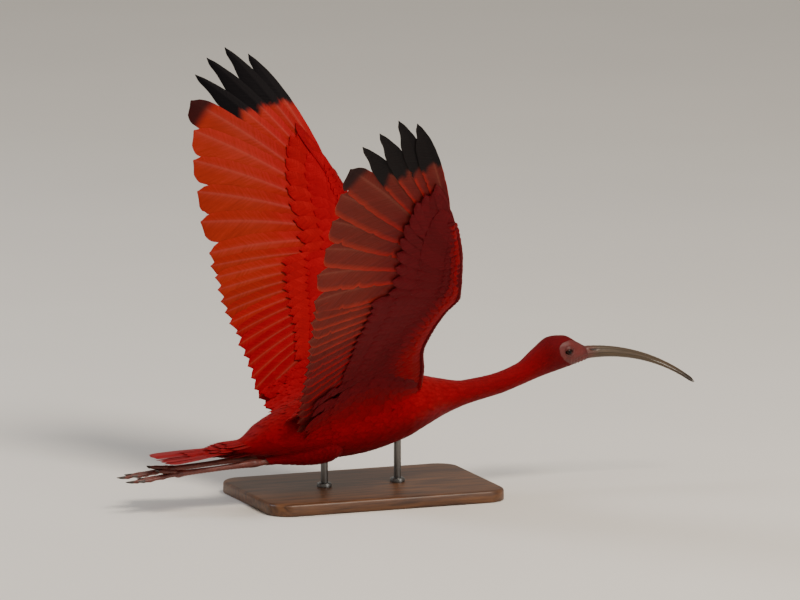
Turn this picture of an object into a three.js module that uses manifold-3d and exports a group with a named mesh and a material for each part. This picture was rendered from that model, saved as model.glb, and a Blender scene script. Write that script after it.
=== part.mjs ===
// A scarlet ibis in flight, wings raised, life size, on a plain display stand.
// Millimetres, +Z up. The bird is laid out level in its own axes, +X to the bill and +Y to its left,
// with the origin where the neck leaves the breast. It is then tipped nose up and set on the stand.
import * as THREE from "three";
import { mergeVertices } from "three/addons/utils/BufferGeometryUtils.js";
import Module from "manifold-3d";

const wasm = await Module();
wasm.setup();

const degree = Math.PI / 180;
const gap = 0.3; // clear space between two pieces that touch
const nosePitch = 12 * degree; // the whole bird points up by this much

// Plumage and skin colours, as the finished model wears them.
const colours = {
  plumage: 0xc8140f,
  bill: 0x6b4a3a,
  eye: 0x1a0f0a,
  skin: 0xc4564a,
  rod: 0x2b2b2d,
  base: 0x6a4a30,
};

// The body outline from the tail root to the face, as rings square to the body's axis.
const bodyRings = [
  { at: "tail root", x: -238, top: 15, bottom: -4, half: 15 },
  { at: "rump", x: -210, top: 27, bottom: -12, half: 28 },
  { at: "loin", x: -175, top: 36, bottom: -23.5, half: 39 },
  { at: "belly", x: -130, top: 44, bottom: -35.5, half: 46 },
  { at: "breast", x: -88, top: 47, bottom: -39.5, half: 48 },
  { at: "shoulder", x: -45, top: 43, bottom: -36.5, half: 45 },
  { at: "collar", x: -15, top: 33, bottom: -29.5, half: 36 },
  { at: "neck base", x: 15, top: 19, bottom: -23, half: 22 },
  { at: "lower neck", x: 45, top: 8, bottom: -19.5, half: 15.5 },
  { at: "mid neck", x: 83, top: 5.5, bottom: -19, half: 12.5 },
  { at: "upper neck", x: 112, top: 9, bottom: -16, half: 12.8 },
  { at: "nape", x: 136, top: 21, bottom: -13, half: 14.5 },
  { at: "crown", x: 157, top: 29.5, bottom: -11.5, half: 16.8 },
  { at: "brow", x: 175, top: 26, bottom: -10.5, half: 15.5 },
  { at: "lore", x: 188, top: 15.5, bottom: -9.8, half: 11.5 },
  { at: "bill face", x: 197, top: 7.5, bottom: -9, half: 7.5 },
];
const bodySides = 24; // points round each ring
const bodySteps = { torso: 15, neck: 8, head: 12 };
const clearOfTorso = 1.2 * gap; // what the wings and thighs keep from the torso
const bodyCuts = { tail: -238, neck: 15, head: 128, bill: 197 };

// The bill, a tapering arc that droops along its length.
const bill = { length: 149, startSlope: -8 * degree, endSlope: -50 * degree, startX: 193, startZ: -1 };
const billDepth = { root: 15.4, tip: 4.4 };
const billHalf = { root: 6.9, tip: 2 };
const billUpperShare = 0.56; // of the depth, above the mouth line
const billTaper = 1.3; // how fast it thins from the root
const billEnd = { from: 0.95, loss: 0.75 }; // where the blunt tip starts, and how far it closes
const billSteps = 15;
const billAcross = 8;
const billCutter = [20, 40]; // length and width of the block that ends the bill at the face

const eye = {
  x: 172,
  z: 9.5,
  radius: 4.7,
  sunk: 2.4,
  lidTube: 1.25,
  lidClear: 0.2,
  lidSides: 5,
  rimOut: 1.8,
  sides: 16,
  rows: 8,
};

// The wing in its own flat plan: a runs out along the span from the wrist, b runs back from it.
const wing = {
  wristX: 12,
  shoulderA: -171,
  shoulderY: 38,
  shoulderZ: 20,
  innerA: -196,
  handA: 100,
  armRise: 51 * degree,
  handRise: 60 * degree,
  bendHalf: 40,
  tipA: 276,
};
const spanStep = 2;
const spanBeyond = 20; // past the wing tip, for feathers that reach a little further
// The arch of the wing's surface from front to back, which stays straight past its two limits.
const arch = { inner: 15, outer: 6, chord: 195, forward: 0.8, sink: 7, limits: [-0.05, 1.15] };
const leadingEdge = [
  [-196, 30],
  [-144, 29],
  [-107, 32],
  [-75, 25],
  [-40, 12],
  [-12, -2],
  [44, -3],
  [117, 8],
  [187, 27],
  [249, 50],
  [276, 66],
];
const trailingEdge = [
  [-196, 200],
  [-120, 194],
  [0, 188],
  [49, 184],
];
// Tips of the primaries, from the innermost to the outermost.
const primaryTips = [
  [49, 184],
  [87, 178],
  [123, 170],
  [160, 160],
  [196, 149],
  [228, 137],
  [256, 122],
  [271, 102],
  [278, 77],
  [266, 54],
];
const fleshBack = [
  [-196, 128],
  [-144, 112],
  [-84, 96],
  [-40, 64],
  [0, 42],
  [40, 34],
  [100, 29],
];
const fleshTop = { shoulder: 12, wrist: 9, hand: 5.6 };
const fleshUnder = { shoulder: 10, wrist: 8, hand: 6 };
const fleshForm = { lean: 0.45, endRun: 34, endBack: 9, endLoss: 0.75, steps: 16, across: 10 };

// Feathers. lead is the half width on the leading side, trail on the other; near and far are the
// distance to the next feather at the root and at the tip; lie is the height off the wing's surface.
const vaneThick = 0.7;
const vaneStep = 1.1; // how far each feather lies over the next one out
const steepest = 0.14; // tilt across a vane, rise over width
const widthVaried = 0.04;
const flight = {
  primary: { lead: 13, trail: 27, near: 6, far: 36, lie: 0, bend: 5 },
  finger: { lead: 8, trail: 19, near: 6, far: 24, lie: 0, bend: 6 },
  secondary: { lead: 9, trail: 17, near: 7.5, far: 14.6, lie: 0, bend: 4 },
  tertial: { lead: 10, trail: 16, near: 9, far: 14, lie: 0, bend: 3 },
};
const covert = {
  overPrimary: { lead: 8, trail: 13, near: 6, far: 18, lie: 3.7, bend: 1 },
  overSecondary: { lead: 8.5, trail: 11.5, near: 8, far: 13, lie: 3.7, bend: 1 },
  median: { lead: 9, trail: 11, near: 11, far: 14, lie: 6.8, bend: 0 },
  under: { lead: 9.5, trail: 12.5, near: 9, far: 16, lie: -4.8, bend: 0 },
};
const fingers = 4; // outer primaries whose tips stand apart
// Roots of the first and last feather of each kind, and the span positions of their tips.
const primaryRow = { from: [8, 11], to: [86, 12] };
const secondaryRow = {
  count: 12,
  from: [-5, 22],
  to: [-84, 74],
  tipFrom: 33,
  tipTo: -128,
  varied: 0.008,
};
const tertialRow = {
  count: 4,
  from: [-94, 80],
  to: [-142, 92],
  tipFrom: -141,
  tipTo: -186,
  shorter: 10,
};

// Which flight feathers have a covert, how far it reaches along them, and where it starts.
const overRule = {
  every: 1,
  hand: covert.overPrimary,
  arm: covert.overSecondary,
  handReach: 0.4,
  armReach: 0.53,
  start: -0.05,
};
const underRule = {
  every: 2,
  hand: covert.under,
  arm: covert.under,
  handReach: 0.42,
  armReach: 0.52,
  start: -0.04,
};
const medianRule = {
  every: 2,
  hand: covert.median,
  arm: covert.median,
  handReach: 0.2,
  armReach: 0.3,
  start: -0.07,
};
const reachVaried = 0.03;

// How a vane widens and thins along its length t, as shares of its full half widths.
const broadVane = [
  { t: 0, lead: 0.16, trail: 0.12, thick: 1 },
  { t: 0.3, lead: 0.78, trail: 0.7, thick: 1 },
  { t: 0.66, lead: 1, trail: 1, thick: 1 },
  { t: 0.93, lead: 0.82, trail: 0.9, thick: 0.8 },
  { t: 1, lead: 0.26, trail: 0.32, thick: 0.5 },
];
const fingerVane = [
  { t: 0, lead: 0.16, trail: 0.12, thick: 1 },
  { t: 0.3, lead: 0.8, trail: 0.66, thick: 1 },
  { t: 0.62, lead: 0.98, trail: 0.92, thick: 1 },
  { t: 0.8, lead: 0.88, trail: 0.76, thick: 1 },
  { t: 0.91, lead: 0.58, trail: 0.38, thick: 0.8 },
  { t: 1, lead: 0.12, trail: 0.1, thick: 0.5 },
];
const tailVane = [
  { t: 0, lead: 0.16, trail: 0.12, thick: 1 },
  { t: 0.3, lead: 0.78, trail: 0.7, thick: 1 },
  { t: 0.66, lead: 1, trail: 1, thick: 1 },
  { t: 0.92, lead: 0.66, trail: 0.76, thick: 0.8 },
  { t: 1, lead: 0.16, trail: 0.22, thick: 0.5 },
];
const shortVane = [
  { t: 0, lead: 0.25, trail: 0.2, thick: 1 },
  { t: 0.4, lead: 0.95, trail: 0.9, thick: 1 },
  { t: 0.84, lead: 0.88, trail: 0.95, thick: 0.9 },
  { t: 1, lead: 0.2, trail: 0.26, thick: 0.6 },
];

const tail = {
  rootX: -244,
  slope: 9 * degree,
  baseEndX: -270,
  pairs: 6,
  length: 96,
  fan: 14 * degree,
  arch: 4, // drop of the fan at archHalf to each side
  archHalf: 45,
  rootY: 1, // first feather's root beside the middle, and the step to each next one
  rootStep: 1.9,
  rootBack: 2,
  flare: 1.15,
  shorter: 0.05, // by which the outer feathers fall short
  centreLie: 1.6,
};
const tailRoot = { high: 10, sink: 7, curve: 1.5, half: 15, narrow: 1, steps: 4, sides: 12 };
const tailFeather = { lead: 8.5, trail: 8.5, near: 2.2, far: 7.6, lie: 0, bend: 1 };
const tailCovertSide = { root: 8, tip: 22 };
const tailCoverts = [
  { side: 1, reach: 52, above: 2.7, below: -3.1 },
  { side: 0.5, reach: 58, above: 3.8, below: -4.2 },
  { side: 0, reach: 62, above: 4.9, below: -5.3 },
];

const leg = {
  half: 16.5,
  thighEndX: -206,
  thighEndZ: -15,
  kneeX: -220,
  kneeZ: -13.8,
  ankleX: -231,
  ankleZ: -12,
  footX: -320,
  footZ: 0.5,
  closing: 1.5, // how far the feet draw in towards each other
};
const thighRings = [
  { x: -140, out: 4, z: -13, radius: 20 },
  { x: -170, out: 2, z: -16.5, radius: 14 },
  { x: -190, out: 0, z: -16.4, radius: 8.5 },
  { x: leg.thighEndX, out: 0, z: leg.thighEndZ, radius: 5 },
];
const limbSides = { thigh: 16, leg: 14, heel: 10, toe: 6, claw: 5 };
const legRadii = { shin: [3.7, 4, 5.6], shank: [4.3, 3.3, 3.8, 4.4] };
const shankShares = [0.1, 0.5, 0.93, 1];
const toes = [
  { length: 62, spread: 0, rise: 0.1, lift: 0 },
  { length: 50, spread: 0.16, rise: 0.1, lift: 0 },
  { length: 46, spread: -0.15, rise: 0.1, lift: 0 },
  { length: 24, spread: 0.02, rise: 0.3, lift: 2.6 },
];
const heel = { length: 7.7, rise: 0.8, radii: [4.6, 3.6], toesBehind: 3, toesRise: 0.4 };
const toeForm = { shares: [0, 0.3, 0.37, 0.64, 0.7, 0.86], radii: [2.9, 2.3, 2.8, 2, 2.4, 1.9] };
const claw = { from: 0.8, lift: 1.6, radii: [1.8, 1.2, 0.4] };
const web = { shares: [0.04, 0.14, 0.24], widen: 1.2, half: 0.5 };
const nostril = {
  along: 0.075,
  over: 3.4,
  out: 0.88,
  half: 5,
  high: 0.8,
  deep: 1.1,
  sides: 12,
  rows: 6,
};

const stand = {
  length: 290,
  width: 190,
  thick: 14,
  corner: 26,
  bevel: 2,
  rodRadius: 4.5,
  rodX: [-40, -130],
  centreX: -82,
  bellyHeight: 96, // of the bird's origin above the base's top
  rodSides: 24,
  cornerSteps: 4,
};

// A smooth curve through points of growing first value, with no overshoot between them.
function smoothThrough(points) {
  const slopes = points.slice(1).map((p, i) => (p[1] - points[i][1]) / (p[0] - points[i][0]));
  const tangents = points.map((_, i) => {
    const before = slopes[i - 1] ?? slopes[0];
    const after = slopes[i] ?? slopes[slopes.length - 1];
    return before * after <= 0 ? 0 : (2 * before * after) / (before + after);
  });
  return (value) => {
    const last = points.length - 1;
    if (value <= points[0][0]) return points[0][1];
    if (value >= points[last][0]) return points[last][1];
    const i = points.findIndex((p) => p[0] > value) - 1;
    const width = points[i + 1][0] - points[i][0];
    const t = (value - points[i][0]) / width;
    const rise = t * t * (3 - 2 * t);
    return (
      points[i][1] * (1 - rise) +
      points[i + 1][1] * rise +
      width * (tangents[i] * t * (1 - t) ** 2 - tangents[i + 1] * t * t * (1 - t))
    );
  };
}

function ease(t) {
  const held = Math.min(1, Math.max(0, t));
  return held * held * (3 - 2 * held);
}

// A closed surface over rings that all have the same number of points, capped at both ends.
function loft(rings) {
  const sides = rings[0].length;
  const points = rings.flat();
  const faces = [];
  for (let i = 0; i + 1 < rings.length; i++) {
    for (let j = 0; j < sides; j++) {
      const next = (j + 1) % sides;
      const [a, b] = [i * sides + j, i * sides + next];
      const [c, d] = [a + sides, b + sides];
      faces.push(a, b, d, a, d, c);
    }
  }
  const lastRing = (rings.length - 1) * sides;
  for (let j = 1; j + 1 < sides; j++) {
    faces.push(0, j + 1, j);
    faces.push(lastRing, lastRing + j, lastRing + j + 1);
  }
  return facingOut(points, faces);
}

// Turns every face over when the surface as a whole points inwards.
function facingOut(points, faces) {
  let volume = 0;
  for (let i = 0; i < faces.length; i += 3) {
    const [a, b, c] = [points[faces[i]], points[faces[i + 1]], points[faces[i + 2]]];
    volume += a.dot(new THREE.Vector3().crossVectors(b, c));
  }
  const index = [];
  for (let i = 0; i < faces.length; i += 3) {
    if (volume < 0) index.push(faces[i], faces[i + 2], faces[i + 1]);
    else index.push(faces[i], faces[i + 1], faces[i + 2]);
  }
  const geometry = new THREE.BufferGeometry().setFromPoints(points);
  geometry.setIndex(index);
  return geometry;
}

function solidOf(geometry) {
  const bare = geometry.clone();
  bare.deleteAttribute("normal");
  bare.deleteAttribute("uv");
  const merged = mergeVertices(bare, 1e-4);
  return new wasm.Manifold(
    new wasm.Mesh({
      numProp: 3,
      vertProperties: new Float32Array(merged.attributes.position.array),
      triVerts: new Uint32Array(merged.index.array),
    }),
  );
}

function geometryOf(solid) {
  const mesh = solid.getMesh();
  const geometry = new THREE.BufferGeometry();
  geometry.setAttribute("position", new THREE.BufferAttribute(mesh.vertProperties, 3));
  geometry.setIndex(new THREE.BufferAttribute(mesh.triVerts, 1));
  return geometry;
}

// The largest closed body of a solid, which leaves out loose scraps.
function largest(solid) {
  const bodies = solid.decompose();
  return bodies.reduce((best, body) => (body.volume() > best.volume() ? body : best));
}

function mirrored(geometry) {
  const copy = geometry.index ? geometry.toNonIndexed() : geometry.clone();
  const p = copy.attributes.position;
  for (let i = 0; i < p.count; i++) p.setY(i, -p.getY(i));
  for (let i = 0; i < p.count; i += 3) {
    const [b, c] = [i + 1, i + 2].map((k) => [p.getX(k), p.getY(k), p.getZ(k)]);
    p.setXYZ(i + 1, ...c);
    p.setXYZ(i + 2, ...b);
  }
  return copy;
}

// A round or oval tube along a line of points, with a radius at each. flat squeezes it from above.
function limb(points, radii, sides, flat = 1) {
  const rings = points.map((point, i) => {
    const before = points[Math.max(0, i - 1)];
    const after = points[Math.min(points.length - 1, i + 1)];
    const along = new THREE.Vector3().subVectors(after, before).normalize();
    const side = new THREE.Vector3(0, 0, 1).cross(along).normalize();
    const up = new THREE.Vector3().crossVectors(along, side);
    return Array.from({ length: sides }, (_, j) => {
      const turn = (2 * Math.PI * j) / sides;
      return point
        .clone()
        .addScaledVector(side, radii[i] * Math.cos(turn))
        .addScaledVector(up, radii[i] * flat * Math.sin(turn));
    });
  });
  return loft(rings);
}

const bodyTop = smoothThrough(bodyRings.map((r) => [r.x, r.top]));
const bodyBottom = smoothThrough(bodyRings.map((r) => [r.x, r.bottom]));
const bodyHalf = smoothThrough(bodyRings.map((r) => [r.x, r.half]));

// The body's skin between two cuts, grown outwards by some amount.
function bodyLength(fromX, toX, steps, grow = 0) {
  const rings = [];
  for (let i = 0; i <= steps; i++) {
    const x = fromX + ((toX - fromX) * i) / steps;
    const middle = (bodyTop(x) + bodyBottom(x)) / 2;
    const high = (bodyTop(x) - bodyBottom(x)) / 2 + grow;
    const half = bodyHalf(x) + grow;
    rings.push(
      Array.from({ length: bodySides }, (_, j) => {
        const turn = (2 * Math.PI * j) / bodySides;
        return new THREE.Vector3(x, half * Math.cos(turn), middle + high * Math.sin(turn));
      }),
    );
  }
  return loft(rings);
}

const halfGap = gap / 2;
const torsoCuts = [bodyCuts.tail + halfGap, bodyCuts.neck - halfGap, bodySteps.torso];
const torso = bodyLength(...torsoCuts);
const grownTorso = solidOf(bodyLength(...torsoCuts, clearOfTorso));
const neck = bodyLength(bodyCuts.neck + halfGap, bodyCuts.head - halfGap, bodySteps.neck);

function eyeCentre() {
  return new THREE.Vector3(eye.x, bodyHalf(eye.x) - eye.sunk, eye.z);
}

// The head, with a socket and a ring of lid for each eye.
function headSolid() {
  let head = solidOf(bodyLength(bodyCuts.head + halfGap, bodyCuts.bill, bodySteps.head));
  const lid = new THREE.TorusGeometry(eye.radius + eye.lidClear, eye.lidTube, eye.lidSides, eye.sides);
  lid.rotateX(Math.PI / 2);
  const socket = new THREE.SphereGeometry(eye.radius + gap, eye.sides, eye.rows);
  for (const side of [1, -1]) {
    const centre = eyeCentre();
    centre.y *= side;
    const rim = centre.y + side * eye.rimOut;
    head = head.add(solidOf(lid.clone().translate(centre.x, rim, centre.z)));
    head = head.subtract(solidOf(socket.clone().translate(centre.x, centre.y, centre.z)));
  }
  return largest(head);
}

function billPoint(t) {
  const turned = bill.startSlope + (bill.endSlope - bill.startSlope) * t;
  const radius = bill.length / (bill.startSlope - bill.endSlope);
  return {
    x: bill.startX + radius * (Math.sin(bill.startSlope) - Math.sin(turned)),
    z: bill.startZ + radius * (Math.cos(turned) - Math.cos(bill.startSlope)),
    slope: turned,
  };
}

// One half of the bill: side +1 lies over the mouth line, -1 under it.
function mandible(side) {
  const share = side > 0 ? billUpperShare : 1 - billUpperShare;
  const rings = [];
  for (let i = 0; i <= billSteps; i++) {
    const t = i / billSteps;
    const { x, z, slope } = billPoint(t);
    const blunt = Math.sqrt(1 - ease((t - billEnd.from) / (1 - billEnd.from)) * billEnd.loss);
    const taper = (1 - t) ** billTaper;
    const depth = (billDepth.tip + (billDepth.root - billDepth.tip) * taper) * blunt;
    const wide = (billHalf.tip + (billHalf.root - billHalf.tip) * taper) * blunt;
    rings.push(
      Array.from({ length: billAcross }, (_, j) => {
        const turn = (Math.PI * j) / (billAcross - 1);
        const up = side * (halfGap + depth * share * Math.sin(turn));
        const out = wide * Math.cos(turn);
        return new THREE.Vector3(x - up * Math.sin(slope), out, z + up * Math.cos(slope));
      }),
    );
  }
  const [long, wide] = billCutter;
  const behindFace = new THREE.BoxGeometry(long, wide, wide);
  behindFace.translate(bodyCuts.bill + gap - long / 2, 0, 0);
  return solidOf(loft(rings)).subtract(solidOf(behindFace));
}

// The upper half, with a long narrow nostril let into each side near the face.
function upperBillSolid() {
  let solid = mandible(1);
  const { x, z, slope } = billPoint(nostril.along);
  for (const side of [1, -1]) {
    const slit = new THREE.SphereGeometry(1, nostril.sides, nostril.rows);
    slit.scale(nostril.half, nostril.deep, nostril.high).rotateY(-slope);
    const out = side * billHalf.root * nostril.out;
    slit.translate(x - nostril.over * Math.sin(slope), out, z + nostril.over * Math.cos(slope));
    solid = solid.subtract(solidOf(slit));
  }
  return largest(solid);
}

// Running totals of the wing's climb, from the shoulder outwards.
const spanTable = [];
function spanAngle(a) {
  const bend = ease((a + wing.bendHalf) / (2 * wing.bendHalf));
  return wing.armRise + (wing.handRise - wing.armRise) * bend;
}
{
  const inner = wing.shoulderA - wing.innerA;
  let y = wing.shoulderY - inner * Math.cos(wing.armRise);
  let z = wing.shoulderZ - inner * Math.sin(wing.armRise);
  for (let a = wing.innerA; a <= wing.tipA + spanBeyond; a += spanStep) {
    spanTable.push({ y, z });
    const angle = spanAngle(a + spanStep / 2);
    y += spanStep * Math.cos(angle);
    z += spanStep * Math.sin(angle);
  }
}

// Camber: how far the wing's arch stands over its flat plan.
function camber(a, b) {
  const outward = ease((a - wing.shoulderA) / (wing.tipA - wing.shoulderA));
  const [least, most] = arch.limits;
  const back = Math.min(most, Math.max(least, b / arch.chord));
  const held = Math.min(1, Math.max(0, back));
  const high = arch.inner + (arch.outer - arch.inner) * outward;
  return high * Math.sin(Math.PI * held ** arch.forward) - arch.sink * back * back;
}

// A place on the left wing: plan position a, b and height n off the arched surface.
function onWing(a, b, n) {
  const where = (a - wing.innerA) / spanStep;
  const i = Math.min(spanTable.length - 2, Math.max(0, Math.floor(where)));
  const share = where - i;
  const y = spanTable[i].y * (1 - share) + spanTable[i + 1].y * share;
  const z = spanTable[i].z * (1 - share) + spanTable[i + 1].z * share;
  const angle = spanAngle(a);
  const off = camber(a, b) + n;
  return new THREE.Vector3(wing.wristX - b, y - off * Math.sin(angle), z + off * Math.cos(angle));
}

const wingLead = smoothThrough(leadingEdge);
const wingTrail = smoothThrough(trailingEdge);
const wingFlesh = smoothThrough(fleshBack);

function fleshDepth(sizes, a) {
  if (a < 0) return sizes.wrist + (sizes.shoulder - sizes.wrist) * ease(a / wing.shoulderA);
  return sizes.wrist + (sizes.hand - sizes.wrist) * ease(a / wing.handA);
}

// The fleshy arm and hand of the wing, with the skin that stretches in front of the elbow.
function wingFleshSolid() {
  const { steps, across, endRun } = fleshForm;
  const rings = [];
  for (let i = 0; i <= steps; i++) {
    const a = wing.innerA + ((wing.handA - wing.innerA) * i) / steps;
    const ending = ease((a - wing.handA + endRun) / endRun);
    const back = wingFlesh(a);
    const front = wingLead(a) + ending * fleshForm.endBack;
    const shrink = 1 - fleshForm.endLoss * ending;
    rings.push(
      Array.from({ length: across }, (_, j) => {
        const turn = (2 * Math.PI * j) / across;
        const b = (front + back) / 2 - ((back - front) / 2) * Math.cos(turn);
        const lean = 1 - fleshForm.lean * ((b - front) / (back - front));
        const depth = Math.sin(turn) > 0 ? fleshDepth(fleshTop, a) : fleshDepth(fleshUnder, a);
        return onWing(a, b, depth * lean * Math.sin(turn) * shrink);
      }),
    );
  }
  return solidOf(loft(rings));
}

// A thin plate between two grids of points, split into triangles alike on both faces.
function plate(top, under) {
  const rows = top.length;
  const across = top[0].length;
  const faces = [];
  const below = rows * across;
  const quad = (a, b, c, d) => faces.push(a, b, d, a, d, c);
  for (let i = 0; i + 1 < rows; i++) {
    for (let j = 0; j + 1 < across; j++) {
      const a = i * across + j;
      faces.push(a, a + 1, a + across + 1, a, a + across + 1, a + across);
      const u = a + below;
      faces.push(u, u + across + 1, u + 1, u, u + across, u + across + 1);
    }
    const edge = i * across;
    const far = edge + across - 1;
    quad(edge, edge + across, edge + below, edge + across + below);
    quad(far + across, far, far + across + below, far + below);
  }
  const last = (rows - 1) * across;
  for (let j = 0; j + 1 < across; j++) {
    quad(j + 1, j, j + 1 + below, j + below);
    quad(last + j, last + j + 1, last + j + below, last + j + 1 + below);
  }
  return facingOut([...top.flat(), ...under.flat()], faces);
}

// Small steady differences from feather to feather, from a seeded run of numbers.
let seed = 20;
function vary(share) {
  seed = (seed * 16807) % 2147483647;
  return 1 + share * (2 * (seed / 2147483647) - 1);
}

// One feather's vane as a closed plate. place turns plan position and height into a point; root and
// tip are plan positions. The leading side lies higher than the trailing side.
function vane(place, root, tip, sizes, shape) {
  const [da, db] = [tip[0] - root[0], tip[1] - root[1]];
  const length = Math.hypot(da, db);
  const [na, nb] = [db / length, -da / length];
  const [lead, trail] = [sizes.lead * vary(widthVaried), sizes.trail * vary(widthVaried)];
  const top = [];
  const under = [];
  for (const station of shape) {
    const { t } = station;
    const swell = sizes.bend * 4 * t * (1 - t);
    const a = root[0] + da * t + na * swell;
    const b = root[1] + db * t + nb * swell;
    const apart = sizes.near + (sizes.far - sizes.near) * t;
    const tilt = sizes.flat ? 0 : Math.min(steepest, vaneStep / apart);
    const half = (vaneThick * station.thick) / 2;
    const edges = [lead * station.lead, -trail * station.trail];
    top.push(edges.map((s) => place(a + na * s, b + nb * s, sizes.lie + tilt * s + half)));
    under.push(edges.map((s) => place(a + na * s, b + nb * s, sizes.lie + tilt * s - half)));
  }
  return plate(top, under);
}

function mix(from, to, share) {
  return from.map((value, k) => value + (to[k] - value) * share);
}

// Root and tip of every flight feather, from the outermost primary to the innermost tertial.
function flightFeathers() {
  const feathers = [];
  for (let i = primaryTips.length - 1; i >= 0; i--) {
    const root = mix(primaryRow.from, primaryRow.to, i / (primaryTips.length - 1));
    const finger = i >= primaryTips.length - fingers;
    const sizes = finger ? flight.finger : flight.primary;
    const shape = finger ? fingerVane : broadVane;
    feathers.push({ kind: "primary", root, tip: primaryTips[i], sizes, shape });
  }
  for (const kind of ["secondary", "tertial"]) {
    const row = kind === "secondary" ? secondaryRow : tertialRow;
    for (let i = 0; i < row.count; i++) {
      const share = i / (row.count - 1);
      const a = row.tipFrom + (row.tipTo - row.tipFrom) * share;
      const b = wingTrail(a) * (row.varied ? vary(row.varied) : 1) - (row.shorter ?? 0) * share;
      const root = mix(row.from, row.to, share);
      feathers.push({ kind, root, tip: [a, b], sizes: flight[kind], shape: broadVane });
    }
  }
  return feathers;
}

// A covert lies between two flight feathers and reaches part of the way out along them.
function covertsOver(feathers, rule) {
  const vanes = [];
  for (let i = 0; i + 1 < feathers.length; i += rule.every) {
    const [one, other] = [feathers[i], feathers[i + 1]];
    const root = mix(one.root, other.root, 0.5);
    const tip = mix(one.tip, other.tip, 0.5);
    const sizes = one.kind === "primary" ? rule.hand : rule.arm;
    const reach = (one.kind === "primary" ? rule.handReach : rule.armReach) * vary(reachVaried);
    const from = mix(root, tip, rule.start);
    vanes.push(solidOf(vane(onWing, from, mix(root, tip, reach), sizes, shortVane)));
  }
  return vanes;
}

function wingSolid() {
  const feathers = flightFeathers();
  const vanes = feathers.map((f) => solidOf(vane(onWing, f.root, f.tip, f.sizes, f.shape)));
  for (const rule of [overRule, underRule]) vanes.push(...covertsOver(feathers, rule));
  const armFeathers = feathers.filter((f) => f.kind !== "primary");
  vanes.push(...covertsOver(armFeathers, medianRule));
  let solid = wingFleshSolid();
  for (const one of vanes) solid = solid.add(one);
  return largest(solid.subtract(grownTorso));
}

const tailRootZ = (bodyTop(bodyCuts.tail) + bodyBottom(bodyCuts.tail)) / 2;
function tailHeight(x) {
  return tailRootZ + (bodyCuts.tail - x) * Math.tan(tail.slope);
}

// A place on the tail: sideways y, back from the tail's root and height n over the fan.
function onTail(y, back, n) {
  const x = tail.rootX - back;
  const drop = tail.arch * (y / tail.archHalf) ** 2;
  return new THREE.Vector3(x, y, tailHeight(x) + n - drop);
}

// The tail: a flattened root, a fan of twelve feathers and the coverts over and under it.
function tailSolid() {
  const rings = [];
  const startX = bodyCuts.tail - halfGap;
  for (let i = 0; i <= tailRoot.steps; i++) {
    const t = i / tailRoot.steps;
    const x = startX + (tail.baseEndX - startX) * t;
    const high = tailRoot.high - tailRoot.sink * t ** tailRoot.curve;
    const wide = tailRoot.half - tailRoot.narrow * t;
    rings.push(
      Array.from({ length: tailRoot.sides }, (_, j) => {
        const turn = (2 * Math.PI * j) / tailRoot.sides;
        return new THREE.Vector3(x, wide * Math.cos(turn), tailHeight(x) + high * Math.sin(turn));
      }),
    );
  }
  let solid = solidOf(loft(rings));
  const spread = (k) => (tail.fan * (k + 0.5)) / tail.pairs;
  const feather = (k, sizes) => {
    const angle = spread(k);
    const reach = tail.length * (1 - tail.shorter * (k / tail.pairs) ** 2);
    const root = [tail.rootY + tail.rootStep * k, tail.rootBack];
    const tip = [root[0] + tail.flare * reach * Math.sin(angle), reach * Math.cos(angle)];
    return vane(onTail, root, tip, sizes, tailVane);
  };
  for (let k = 1; k < tail.pairs; k++) {
    const one = feather(k, tailFeather);
    solid = solid.add(solidOf(one)).add(solidOf(mirrored(one)));
  }
  solid = solid.add(solidOf(mirrored(feather(0, tailFeather))));
  solid = solid.add(solidOf(feather(0, { ...tailFeather, lie: tail.centreLie, flat: true })));
  for (const row of tailCoverts) {
    for (const side of row.side === 0 ? [0] : [-row.side, row.side]) {
      for (const lie of [row.above, row.below]) {
        const sizes = { ...tailFeather, lie, flat: true, bend: 0 };
        const root = [side * tailCovertSide.root, 0];
        const tip = [side * tailCovertSide.tip, row.reach];
        const one = vane(onTail, root, tip, sizes, shortVane);
        solid = solid.add(solidOf(one));
      }
    }
  }
  return largest(solid);
}

function at(x, y, z) {
  return new THREE.Vector3(x, y, z);
}

// The feathered shin, where it leaves the belly's plumage.
function thighSolid() {
  const line = thighRings.map((ring) => at(ring.x, leg.half + ring.out, ring.z));
  const radii = thighRings.map((ring) => ring.radius);
  return largest(solidOf(limb(line, radii, limbSides.thigh)).subtract(grownTorso));
}

// The bare leg: the end of the shin, the ankle joint and the long shank.
function legGeometry() {
  const y = leg.half;
  const dir = Math.atan2(leg.ankleZ - leg.thighEndZ, leg.thighEndX - leg.ankleX);
  const startX = leg.thighEndX - gap * Math.cos(dir);
  const startZ = leg.thighEndZ + gap * Math.sin(dir);
  const shank = shankShares.map((t) => {
    const x = leg.ankleX + (leg.footX - leg.ankleX) * t;
    return at(x, y - leg.closing * t, leg.ankleZ + (leg.footZ - leg.ankleZ) * t);
  });
  const shin = [at(startX, y, startZ), at(leg.kneeX, y, leg.kneeZ), at(leg.ankleX, y, leg.ankleZ)];
  return limb([...shin, ...shank], [...legRadii.shin, ...legRadii.shank], limbSides.leg);
}

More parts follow.
